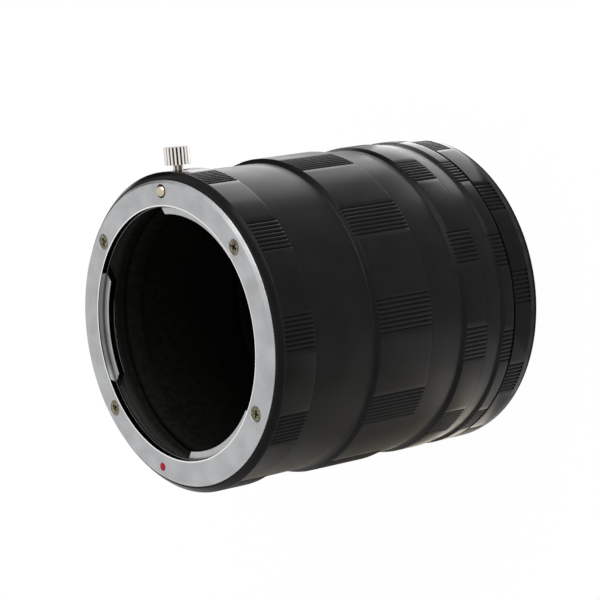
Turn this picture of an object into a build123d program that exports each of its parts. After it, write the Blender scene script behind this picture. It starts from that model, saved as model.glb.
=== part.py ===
"""Screw-together macro extension tube set for a 54 mm bayonet mount, standing on its camera side.

Millimetres, Z is the optical axis. The camera side's bayonet stands on Z = 0 and the lens side faces up.
"""

from build123d import *
import os
from math import asin, cos, radians, sin

# Lengths along the axis, from the camera side up
BAYONET_REACH = 5.0
FLANGE_PROUD = 0.4
CAMERA_RING_LENGTH = 7.6
SHORT_TUBE_LENGTH = 8.0
MIDDLE_TUBE_LENGTH = 16.0
LONG_TUBE_LENGTH = 31.8
LENS_RING_LENGTH = 10.6

# The mount's throat, which every other radius follows
THROAT_R = 27.0
LENS_FLANGE_R = THROAT_R + 5.5

# Grip bands and the waists in front of them
LENS_BAND_R = LENS_FLANGE_R + 1.55
LONG_BAND_R = LENS_BAND_R + 0.05
MIDDLE_BAND_R = LENS_BAND_R - 0.05
SHORT_BAND_R = LENS_BAND_R - 0.1
CAMERA_BAND_R = LENS_BAND_R - 0.15
LONG_BAND_LENGTH = 14.8
MIDDLE_BAND_LENGTH = 6.2
SHORT_BAND_LENGTH = 3.0
LONG_WAIST_DEPTH = 1.0
MIDDLE_WAIST_DEPTH = 0.8
SHORT_WAIST_DEPTH = 0.6
LONG_FRONT_DROP = 0.8
FRONT_DROP = 0.15
RIM_LENGTH = 0.9
COVE_RADIUS = 1.4
SEAM_BEVEL = 0.2

# Straight grooves milled into each band in patches
PATCHES = 10
GROOVES_PER_PATCH = 8
GROOVE_PITCH_DEG = 1.65
GROOVE_HALF_WIDTH = 0.3
GROOVE_DEPTH = 0.35
LENS_GRIP_TURN = 1.5
LONG_GRIP_TURN = 1.6
MIDDLE_GRIP_TURN = 21.4
SHORT_GRIP_TURN = 17.8
CAMERA_GRIP_TURN = 3.2
CAMERA_GRIP_MARGIN = 2.9
LENS_GRIP_MARGIN = 0.2

# The 57 mm screw joint between the rings, without its fine thread
THREAD_R = THROAT_R + 1.5
THREAD_CLEARANCE = 0.1
THREAD_LENGTH = 2.6
THREAD_LEAD = 0.4
THREAD_RELIEF_DEPTH = 0.5
THREAD_RELIEF_LENGTH = 0.6
THREAD_END_GAP = 0.2
LIGHT_PATH_R = THROAT_R
BAFFLE_THICKNESS = 1.2

# Lens side plate: flange, throat and the three inward tabs
LENS_FLANGE_THICKNESS = 1.7
LENS_FLANGE_BEVEL = 0.7
LENS_FLANGE_SHOWN = 0.95
THROAT_BACK_BEVEL = 0.25
TAB_R = THROAT_R - 1.8
TAB_ROOT_R = THROAT_R + 1.0
TAB_THICKNESS = 1.3
TAB_END_BEVEL_DEG = 3.8
TAB_CENTRES_DEG = (89.3, -23.2, -153.2)
TAB_WIDTHS_DEG = (54.6, 60.0, 60.0)

# Lens side housing
HOUSING_LIP = 0.35
HOUSING_CONE_LENGTH = 1.25
HOUSING_BORE_R = TAB_ROOT_R + 0.1
PLATE_CLEARANCE = 0.05
SPRING_GROOVE_R = HOUSING_BORE_R + 0.3
SPRING_GROOVE_WIDTH = 1.05

# Leaf springs behind the tabs
LEAF_THICKNESS = 0.25
LEAF_BOW = 0.7
LEAF_SPAN_DEG = 34.0
LEAF_INNER_R = TAB_R + 0.8
LEAF_EDGE_GAP = 0.1

# Screws, index dots and where they sit, as turns from the lock pin
SCREW_TURNS = (-50.5, 49.5, 125.5, -121.5)
LENS_SCREW_CIRCLE_R = THROAT_R + 2.5
CAMERA_SCREW_CIRCLE_R = THROAT_R + 1.6
SCREW_HEAD_R = 1.7
SCREW_HEAD_SINK = 0.05
SCREW_SHANK_R = 0.9
SCREW_LENGTH = 5.0
SCREW_CLEARANCE = 0.05
CROSS_WIDTH = 0.45
CROSS_LENGTH = 1.9
CROSS_DEPTH = 0.45
LENS_DOT_TURN = 164.0
LOCKING_TURN = 60.0
DOT_R = 0.9
DOT_DEPTH = 0.5
LENS_DOT_CIRCLE_R = THROAT_R + 3.0

# Lock: pin, knob, slot and spring
LOCK_ANGLE = -90.0
PIN_CIRCLE_R = THROAT_R + 3.2
PIN_R = 1.45
PIN_CLEARANCE = 0.05
PIN_REACH = 0.9
PIN_TAIL = 0.45
LOCK_TRAVEL = 1.5
KNOB_RISE = 5.6
STEM_R = 1.1
STEM_CLEARANCE = 0.1
STEM_SHOWN = 1.2
STEM_TIP_R = 0.75
STEM_TIP_CLEARANCE = 0.05
STEM_TIP_DEPTH = 1.9
KNOB_R = 2.8
KNOB_HEIGHT = 3.7
KNOB_BEVEL = 0.25
KNOB_FLUTES = 20
KNOB_FLUTE_DEPTH = 0.38
KNOB_FLUTE_HALF_WIDTH = 0.34
LOCK_SPRING_R = 0.95
LOCK_SPRING_WIRE_R = 0.13
LOCK_SPRING_TURNS = 5
LOCK_SPRING_SIDES = 6
LOCK_SPRING_CLEARANCE = 0.07
SPRING_POCKET_DEPTH = 1.9

# Camera side plate: flange, spigot and the three outward tabs
CAMERA_FLANGE_R = THROAT_R + 4.0
CAMERA_FLANGE_THICKNESS = 1.8
CAMERA_FLANGE_BEVEL = 0.4
SPIGOT_R = TAB_R - 0.2
CAMERA_THROAT_R = SPIGOT_R - 1.4
MALE_TAB_R = THROAT_R - 0.2
MALE_TAB_SETBACK = 3.3
MALE_TAB_THICKNESS = 1.4
MALE_TAB_WIDTHS_DEG = (44.0, 50.0, 50.0)
SPIGOT_END_BEVEL = 0.2
LOCK_NOTCH_DEPTH = 1.3
LOCK_NOTCH_CLEARANCE = 0.15
CAMERA_REAR_BEVEL = 1.2
CAMERA_DOT_TURN = LENS_DOT_TURN - LOCKING_TURN

# Heights worked out from the lengths
FLANGE_Z = BAYONET_REACH
CAMERA_RING_Z = FLANGE_Z + FLANGE_PROUD
SHORT_TUBE_Z = CAMERA_RING_Z + CAMERA_RING_LENGTH
MIDDLE_TUBE_Z = SHORT_TUBE_Z + SHORT_TUBE_LENGTH
LONG_TUBE_Z = MIDDLE_TUBE_Z + MIDDLE_TUBE_LENGTH
LENS_RING_Z = LONG_TUBE_Z + LONG_TUBE_LENGTH
LENS_FACE_Z = LENS_RING_Z + LENS_RING_LENGTH
PLATE_BACK_Z = LENS_FACE_Z - LENS_FLANGE_THICKNESS
TAB_BACK_Z = PLATE_BACK_Z - TAB_THICKNESS
KNOB_Z = LENS_RING_Z + KNOB_RISE
PIN_TAIL_Z = KNOB_Z - STEM_TIP_R - PIN_TAIL
PIN_BORE_Z = PIN_TAIL_Z - LOCK_TRAVEL - STEM_CLEARANCE
SPRING_SEAT_Z = PIN_BORE_Z - SPRING_POCKET_DEPTH
THREAD_DEPTH = THREAD_LENGTH + THREAD_END_GAP
BORE_R = THREAD_R + THREAD_CLEARANCE

parts = {}


def at(radius, angle_deg, z=0.0):
    """Place on a circle about the axis, with its local X pointing outwards."""
    return Rot(0, 0, angle_deg) * Pos(radius, 0, z)


def turned(*profile):
    """Solid of revolution from (radius, height) corners, or from edges that close into a loop."""
    if isinstance(profile[0], tuple):
        return revolve(Plane.XZ * Polygon(*profile, align=None), Axis.Z)
    return revolve(Plane.XZ * make_face(list(profile)), Axis.Z)


def ring(outer_r, inner_r, bottom, top):
    """Plain ring between two heights."""
    return turned((inner_r, bottom), (outer_r, bottom), (outer_r, top), (inner_r, top))


def rod(radius, bottom, top):
    """Plain cylinder between two heights."""
    return Pos(0, 0, bottom) * extrude(Circle(radius), top - bottom)


def grip_grooves(radius, bottom, top, turn_deg):
    """V grooves for one band, in patches spread evenly round it."""
    overshoot = GROOVE_DEPTH
    half_width = GROOVE_HALF_WIDTH * (GROOVE_DEPTH + overshoot) / GROOVE_DEPTH
    notch = Polygon((radius - GROOVE_DEPTH, 0), (radius + overshoot, -half_width),
                    (radius + overshoot, half_width), align=None)
    cutter = Pos(0, 0, bottom) * extrude(notch, top - bottom)
    middle = (GROOVES_PER_PATCH - 1) / 2
    angles = [turn_deg + patch * 360 / PATCHES + (groove - middle) * GROOVE_PITCH_DEG
              for patch in range(PATCHES) for groove in range(GROOVES_PER_PATCH)]
    return [Rot(0, 0, angle) * cutter for angle in angles]


def thread_collar(bottom):
    """Male end of a ring: a collar with a relief groove at its root and a bevelled lead."""
    top = bottom + THREAD_LENGTH
    relief_r = THREAD_R - THREAD_RELIEF_DEPTH
    return turned((LIGHT_PATH_R, bottom), (relief_r, bottom), (relief_r, bottom + THREAD_RELIEF_LENGTH),
                  (THREAD_R, bottom + THREAD_RELIEF_LENGTH + THREAD_RELIEF_DEPTH),
                  (THREAD_R, top - THREAD_LEAD), (THREAD_R - THREAD_LEAD, top), (LIGHT_PATH_R, top))


def tube(rear_z, length, band_r, band_length, waist_depth, front_drop, grip_turn):
    """Extension tube: grip band with the female end below, tapered waist and male collar above."""
    front_z = rear_z + length
    band_top = rear_z + band_length
    waist_r = band_r - waist_depth
    front_r = band_r - front_drop
    cove_z = band_top + RIM_LENGTH
    baffle_z = front_z - BAFFLE_THICKNESS
    body = turned((waist_r, cove_z), (band_r, band_top), (band_r, rear_z + SEAM_BEVEL),
                  (band_r - SEAM_BEVEL, rear_z), (BORE_R, rear_z), (BORE_R, baffle_z),
                  (LIGHT_PATH_R, baffle_z), (LIGHT_PATH_R, front_z),
                  (front_r - SEAM_BEVEL, front_z), (front_r, front_z - SEAM_BEVEL))
    cove = body.edges().filter_by(GeomType.CIRCLE).sort_by(lambda e: abs(e.center().Z - cove_z))[0]
    body = fillet(cove, COVE_RADIUS) + thread_collar(front_z)
    return body - grip_grooves(band_r, rear_z, cove_z, grip_turn)


def polar(radius, angle_deg):
    """Flat point from its radius and angle."""
    return radius * cos(radians(angle_deg)), radius * sin(radians(angle_deg))


def bayonet_tab(centre_deg, inner_r, inner_deg, outer_r, outer_deg, bottom, top):
    """Part of a ring, as wide as stated at its inner and its outer radius."""
    wedge = Polygon(polar(inner_r, -inner_deg / 2), polar(outer_r, -outer_deg / 2),
                    (outer_r / cos(radians(outer_deg / 2)), 0), polar(outer_r, outer_deg / 2),
                    polar(inner_r, inner_deg / 2), align=None)
    outline = wedge & (Circle(outer_r) - Circle(inner_r))
    return Rot(0, 0, centre_deg) * Pos(0, 0, bottom) * extrude(outline, top - bottom)


def screw():
    """Countersunk screw with a cross recess, its head at Z = 0 and its shank pointing down."""
    cone = SCREW_HEAD_R - SCREW_SHANK_R
    body = turned((0, 0), (SCREW_HEAD_R, 0), (SCREW_SHANK_R, -cone), (SCREW_SHANK_R, -SCREW_LENGTH),
                  (0, -SCREW_LENGTH))
    slot = Pos(0, 0, -CROSS_DEPTH / 2) * Box(CROSS_LENGTH, CROSS_WIDTH, CROSS_DEPTH)
    return body - slot - Rot(0, 0, 90) * slot


def screw_hole():
    """Room for a screw: its own outline with clearance, open above and below."""
    head_r = SCREW_HEAD_R + SCREW_CLEARANCE
    hole_r = SCREW_SHANK_R + SCREW_CLEARANCE
    above = SCREW_HEAD_SINK
    bottom = -SCREW_LENGTH - above
    return turned((0, above), (head_r + above, above), (hole_r, hole_r - head_r), (hole_r, bottom), (0, bottom))


def screw_places(circle_r, z):
    """Where the screws of one plate sit."""
    return [at(circle_r, LOCK_ANGLE + turn, z) for turn in SCREW_TURNS]


def lens_index_dot():
    """Round inlay in the lens flange that a lens's own dot is lined up with."""
    place = at(LENS_DOT_CIRCLE_R, LOCK_ANGLE + LENS_DOT_TURN)
    return place * rod(DOT_R, LENS_FACE_Z - DOT_DEPTH, LENS_FACE_Z)


def camera_index_dot():
    """Round inlay in the camera flange, back by the locking turn from where the lens side's dot is."""
    place = at(CAMERA_SCREW_CIRCLE_R, LOCK_ANGLE + CAMERA_DOT_TURN)
    return place * rod(DOT_R, FLANGE_Z, FLANGE_Z + DOT_DEPTH)


def lens_plate():
    """Bright ring that the lens seats on, with its throat, three tabs and holes."""
    flange = turned((THROAT_R + THROAT_BACK_BEVEL, PLATE_BACK_Z), (LENS_FLANGE_R, PLATE_BACK_Z),
                    (LENS_FLANGE_R, LENS_FACE_Z - LENS_FLANGE_BEVEL),
                    (LENS_FLANGE_R - LENS_FLANGE_BEVEL, LENS_FACE_Z), (THROAT_R, LENS_FACE_Z),
                    (THROAT_R, PLATE_BACK_Z + THROAT_BACK_BEVEL))
    for centre, width in zip(TAB_CENTRES_DEG, TAB_WIDTHS_DEG):
        flange += bayonet_tab(LOCK_ANGLE + centre, TAB_R, width - 2 * TAB_END_BEVEL_DEG, TAB_ROOT_R, width,
                              TAB_BACK_Z, PLATE_BACK_Z + THROAT_BACK_BEVEL)
    for place in screw_places(LENS_SCREW_CIRCLE_R, LENS_FACE_Z - SCREW_HEAD_SINK):
        flange -= place * screw_hole()
    flange -= at(PIN_CIRCLE_R, LOCK_ANGLE) * rod(PIN_R + PIN_CLEARANCE, PIN_BORE_Z, LENS_FACE_Z + PIN_REACH)
    return flange - lens_index_dot()


def lock_slot():
    """Slot along the axis that the knob's stem runs in, from the pin's bore to the outside."""
    half_width = STEM_R + STEM_CLEARANCE
    outline = SlotCenterToCenter(LOCK_TRAVEL, 2 * half_width, rotation=90)
    wall = Plane((PIN_CIRCLE_R, 0, KNOB_Z - LOCK_TRAVEL / 2), x_dir=(0, 1, 0), z_dir=(1, 0, 0))
    cutter = wall * extrude(outline, LENS_BAND_R + STEM_SHOWN - PIN_CIRCLE_R)
    return Rot(0, 0, LOCK_ANGLE) * cutter


def lens_housing():
    """Black grip ring that carries the lens plate and the lock, with the female end below."""
    recess_r = LENS_FLANGE_R + PLATE_CLEARANCE
    lip_z = LENS_FACE_Z - LENS_FLANGE_SHOWN
    cone_z = lip_z - HOUSING_CONE_LENGTH
    groove_z = TAB_BACK_Z - SPRING_GROOVE_WIDTH
    thread_z = LENS_RING_Z + THREAD_DEPTH
    body = turned((BORE_R, LENS_RING_Z), (LENS_BAND_R - SEAM_BEVEL, LENS_RING_Z),
                  (LENS_BAND_R, LENS_RING_Z + SEAM_BEVEL), (LENS_BAND_R, cone_z),
                  (recess_r + HOUSING_LIP, lip_z), (recess_r, lip_z), (recess_r, PLATE_BACK_Z),
                  (HOUSING_BORE_R, PLATE_BACK_Z),
                  (HOUSING_BORE_R, TAB_BACK_Z), (SPRING_GROOVE_R, TAB_BACK_Z), (SPRING_GROOVE_R, groove_z),
                  (HOUSING_BORE_R, groove_z), (HOUSING_BORE_R, thread_z), (BORE_R, thread_z))
    body -= grip_grooves(LENS_BAND_R, LENS_RING_Z, cone_z - LENS_GRIP_MARGIN, LENS_GRIP_TURN)
    for place in screw_places(LENS_SCREW_CIRCLE_R, LENS_FACE_Z - SCREW_HEAD_SINK):
        body -= place * screw_hole()
    body -= at(PIN_CIRCLE_R, LOCK_ANGLE) * rod(PIN_R + PIN_CLEARANCE, PIN_BORE_Z, LENS_FACE_Z)
    pocket_r = LOCK_SPRING_R + LOCK_SPRING_WIRE_R + LOCK_SPRING_CLEARANCE
    body -= at(PIN_CIRCLE_R, LOCK_ANGLE) * rod(pocket_r, SPRING_SEAT_Z, PIN_BORE_Z)
    return body - lock_slot()


def leaf_spring(centre_deg):
    """Thin strip bowed behind a tab, held at its outer edge in the housing's groove."""
    outer_r = SPRING_GROOVE_R - LEAF_EDGE_GAP
    half_span = outer_r * sin(radians(LEAF_SPAN_DEG / 2))
    under = -LEAF_THICKNESS
    back = ThreePointArc((-half_span, 0), (0, -LEAF_BOW), (half_span, 0))
    front = ThreePointArc((half_span, under), (0, under - LEAF_BOW), (-half_span, under))
    ends = [Line((half_span, 0), (half_span, under)), Line((-half_span, under), (-half_span, 0))]
    bow_plane = Plane((0, 0, TAB_BACK_Z), x_dir=(0, 1, 0), z_dir=(1, 0, 0))
    strip = bow_plane * extrude(make_face([back, *ends, front]), SPRING_GROOVE_R)
    band = ring(outer_r, LEAF_INNER_R, TAB_BACK_Z - SPRING_GROOVE_WIDTH, TAB_BACK_Z)
    return Rot(0, 0, LOCK_ANGLE + centre_deg) * (strip & band)


def lock_pin():
    """Domed pin that stands out of the lens flange, cross-drilled for the knob's stem."""
    tip_z = LENS_FACE_Z + PIN_REACH
    dome_r = (PIN_R ** 2 + PIN_REACH ** 2) / (2 * PIN_REACH)
    half_turn = asin(PIN_R / dome_r) / 2
    crown = (dome_r * sin(half_turn), tip_z - dome_r * (1 - cos(half_turn)))
    dome = ThreePointArc((PIN_R, LENS_FACE_Z), crown, (0, tip_z))
    sides = Polyline((0, tip_z), (0, PIN_TAIL_Z), (PIN_R, PIN_TAIL_Z), (PIN_R, LENS_FACE_Z))
    drilled = Pos(0, 0, KNOB_Z) * Rot(0, 90, 0) * rod(STEM_TIP_R + STEM_TIP_CLEARANCE, PIN_R - STEM_TIP_DEPTH,
                                                      PIN_R + STEM_TIP_R)
    return at(PIN_CIRCLE_R, LOCK_ANGLE) * (turned(sides, dome) - drilled)


def lock_knob():
    """Fluted knob on its stem, screwed into the pin through the slot."""
    seat_r = PIN_CIRCLE_R + PIN_R
    head_r = LENS_BAND_R + STEM_SHOWN
    top_r = head_r + KNOB_HEIGHT
    tip_r = seat_r - STEM_TIP_DEPTH + STEM_TIP_CLEARANCE
    body = turned((0, tip_r), (STEM_TIP_R, tip_r), (STEM_TIP_R, seat_r), (STEM_R, seat_r), (STEM_R, head_r),
                  (KNOB_R - KNOB_BEVEL, head_r), (KNOB_R, head_r + KNOB_BEVEL), (KNOB_R, top_r - KNOB_BEVEL),
                  (KNOB_R - KNOB_BEVEL, top_r), (0, top_r))
    flute = Polygon((KNOB_R - KNOB_FLUTE_DEPTH, 0), (KNOB_R + KNOB_FLUTE_DEPTH, -2 * KNOB_FLUTE_HALF_WIDTH),
                    (KNOB_R + KNOB_FLUTE_DEPTH, 2 * KNOB_FLUTE_HALF_WIDTH), align=None)
    cutter = Pos(0, 0, head_r) * extrude(flute, KNOB_HEIGHT)
    body -= [Rot(0, 0, step * 360 / KNOB_FLUTES) * cutter for step in range(KNOB_FLUTES)]
    return Rot(0, 0, LOCK_ANGLE) * Pos(0, 0, KNOB_Z) * Rot(0, 90, 0) * body


def lock_spring():
    """Coil spring that pushes the pin out, from the bottom of its pocket to the pin's tail."""
    bottom = SPRING_SEAT_Z + LOCK_SPRING_WIRE_R
    height = PIN_TAIL_Z - SPRING_SEAT_Z - 2 * LOCK_SPRING_WIRE_R
    path = Helix(height / LOCK_SPRING_TURNS, height, LOCK_SPRING_R)
    section = Plane(path @ 0, z_dir=path % 0) * RegularPolygon(LOCK_SPRING_WIRE_R, LOCK_SPRING_SIDES)
    return at(PIN_CIRCLE_R, LOCK_ANGLE, bottom) * sweep(section, path)


def lock_notch():
    """Room for the camera's lock pin, open towards the camera and outwards through flange and housing."""
    notch_r = PIN_R + LOCK_NOTCH_CLEARANCE
    outline = Circle(notch_r) + Pos(notch_r, 0) * Rectangle(2 * notch_r, 2 * notch_r)
    return at(PIN_CIRCLE_R, LOCK_ANGLE, FLANGE_Z) * extrude(outline, LOCK_NOTCH_DEPTH)


def camera_plate():
    """Bright ring for the camera, with its spigot, three outward tabs, holes and the lock notch."""
    top = FLANGE_Z + CAMERA_FLANGE_THICKNESS
    body = turned((CAMERA_THROAT_R, 0), (SPIGOT_R - SPIGOT_END_BEVEL, 0), (SPIGOT_R, SPIGOT_END_BEVEL),
                  (SPIGOT_R, FLANGE_Z), (CAMERA_FLANGE_R - CAMERA_FLANGE_BEVEL, FLANGE_Z),
                  (CAMERA_FLANGE_R, FLANGE_Z + CAMERA_FLANGE_BEVEL), (CAMERA_FLANGE_R, top),
                  (CAMERA_THROAT_R, top))
    tab_top = FLANGE_Z - MALE_TAB_SETBACK
    for centre, width in zip(TAB_CENTRES_DEG, MALE_TAB_WIDTHS_DEG):
        tip_width = width - 2 * TAB_END_BEVEL_DEG
        body += bayonet_tab(LOCK_ANGLE + centre, CAMERA_THROAT_R, width, MALE_TAB_R, tip_width,
                            tab_top - MALE_TAB_THICKNESS, tab_top)
    for place in screw_places(CAMERA_SCREW_CIRCLE_R, FLANGE_Z + SCREW_HEAD_SINK):
        body -= place * Rot(180, 0, 0) * screw_hole()
    return body - camera_index_dot() - lock_notch()


def camera_housing():
    """Black grip ring that carries the camera plate, with a male collar above."""
    recess_r = CAMERA_FLANGE_R + PLATE_CLEARANCE
    recess_z = FLANGE_Z + CAMERA_FLANGE_THICKNESS
    top = SHORT_TUBE_Z
    body = turned((LIGHT_PATH_R, recess_z), (recess_r, recess_z), (recess_r, CAMERA_RING_Z),
                  (CAMERA_BAND_R - CAMERA_REAR_BEVEL, CAMERA_RING_Z),
                  (CAMERA_BAND_R, CAMERA_RING_Z + CAMERA_REAR_BEVEL), (CAMERA_BAND_R, top - SEAM_BEVEL),
                  (CAMERA_BAND_R - SEAM_BEVEL, top), (LIGHT_PATH_R, top))
    body += thread_collar(top)
    body -= grip_grooves(CAMERA_BAND_R, CAMERA_RING_Z + CAMERA_GRIP_MARGIN, top, CAMERA_GRIP_TURN)
    for place in screw_places(CAMERA_SCREW_CIRCLE_R, FLANGE_Z + SCREW_HEAD_SINK):
        body -= place * Rot(180, 0, 0) * screw_hole()
    return body - lock_notch()


parts["lens_mount_plate"] = lens_plate()
parts["lens_mount_housing"] = lens_housing()
parts["long_tube"] = tube(LONG_TUBE_Z, LONG_TUBE_LENGTH, LONG_BAND_R, LONG_BAND_LENGTH, LONG_WAIST_DEPTH,
                          LONG_FRONT_DROP, LONG_GRIP_TURN)
parts["middle_tube"] = tube(MIDDLE_TUBE_Z, MIDDLE_TUBE_LENGTH, MIDDLE_BAND_R, MIDDLE_BAND_LENGTH,
                            MIDDLE_WAIST_DEPTH, FRONT_DROP, MIDDLE_GRIP_TURN)
parts["short_tube"] = tube(SHORT_TUBE_Z, SHORT_TUBE_LENGTH, SHORT_BAND_R, SHORT_BAND_LENGTH,
                           SHORT_WAIST_DEPTH, FRONT_DROP, SHORT_GRIP_TURN)
parts["camera_mount_housing"] = camera_housing()
parts["camera_mount_plate"] = camera_plate()
parts["lock_pin"] = lock_pin()
parts["lock_knob"] = lock_knob()
parts["lock_spring"] = lock_spring()
for number, centre in enumerate(TAB_CENTRES_DEG, 1):
    parts[f"leaf_spring_{number}"] = leaf_spring(centre)
for number, place in enumerate(screw_places(LENS_SCREW_CIRCLE_R, LENS_FACE_Z - SCREW_HEAD_SINK), 1):
    parts[f"lens_mount_screw_{number}"] = place * screw()
for number, place in enumerate(screw_places(CAMERA_SCREW_CIRCLE_R, FLANGE_Z + SCREW_HEAD_SINK), 1):
    parts[f"camera_mount_screw_{number}"] = place * Rot(180, 0, 0) * screw()
parts["lens_index_dot"] = lens_index_dot()
parts["camera_index_dot"] = camera_index_dot()

os.makedirs("parts", exist_ok=True)
for name, solid in parts.items():
    export_step(solid, f"parts/{name}.step")
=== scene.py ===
"""Looks of a screw-together macro extension tube set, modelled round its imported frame.

The stack stands on its camera side with its optical axis along Z. Sizes are in millimetres until they
reach a mesh, which is in metres. The lock's pin and knob are on the -Y side.
"""

import logging
import math
from collections.abc import Callable, Sequence
from dataclasses import dataclass, replace
from enum import Enum
from functools import partial

import bmesh
import bpy
from mathutils import Matrix, Vector

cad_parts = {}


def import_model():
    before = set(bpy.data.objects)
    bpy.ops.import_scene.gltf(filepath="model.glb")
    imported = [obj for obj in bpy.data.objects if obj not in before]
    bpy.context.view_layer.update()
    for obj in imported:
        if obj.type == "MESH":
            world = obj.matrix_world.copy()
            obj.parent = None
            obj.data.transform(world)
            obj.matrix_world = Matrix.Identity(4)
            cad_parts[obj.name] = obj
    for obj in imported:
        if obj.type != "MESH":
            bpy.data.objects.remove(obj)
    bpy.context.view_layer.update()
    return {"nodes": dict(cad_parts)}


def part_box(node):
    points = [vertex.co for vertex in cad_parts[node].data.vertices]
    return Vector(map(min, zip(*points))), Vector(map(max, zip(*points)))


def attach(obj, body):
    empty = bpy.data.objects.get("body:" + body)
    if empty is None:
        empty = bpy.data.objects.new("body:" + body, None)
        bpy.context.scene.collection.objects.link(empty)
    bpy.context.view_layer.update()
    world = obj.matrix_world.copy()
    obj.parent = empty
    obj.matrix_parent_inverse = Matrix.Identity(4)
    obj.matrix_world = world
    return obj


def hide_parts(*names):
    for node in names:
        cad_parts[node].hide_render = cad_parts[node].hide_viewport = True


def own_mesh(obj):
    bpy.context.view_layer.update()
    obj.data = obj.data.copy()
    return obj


MM = 0.001
MERGE_DISTANCE = 0.002 * MM
HAIR = 0.001 * MM

LIGHT_PATH = 27.0
PLAIN_BORE = 28.6
EDGE = 0.05
GRIP_MARGIN = 0.01
PLATE_ROOM = 0.05
LOCK_ANGLE = -90.0
PIN_CIRCLE = 30.2
TAB_CENTRES = (89.3, -23.2, -153.2)
TAB_TAPER = 7.6

Cutter = Callable[[], bpy.types.Object]

LOG = logging.getLogger("macro_extension_tube")


class Sheen(Enum):
    """How a black anodised surface takes the light."""

    SATIN = (0.34, 0.105)
    GLOSS = (0.22, 0.085)

    @property
    def roughness(self) -> float:
        """Mean roughness of the surface."""
        return self.value[0]

    @property
    def specular(self) -> float:
        """Specular level of the surface."""
        return self.value[1]


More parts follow.
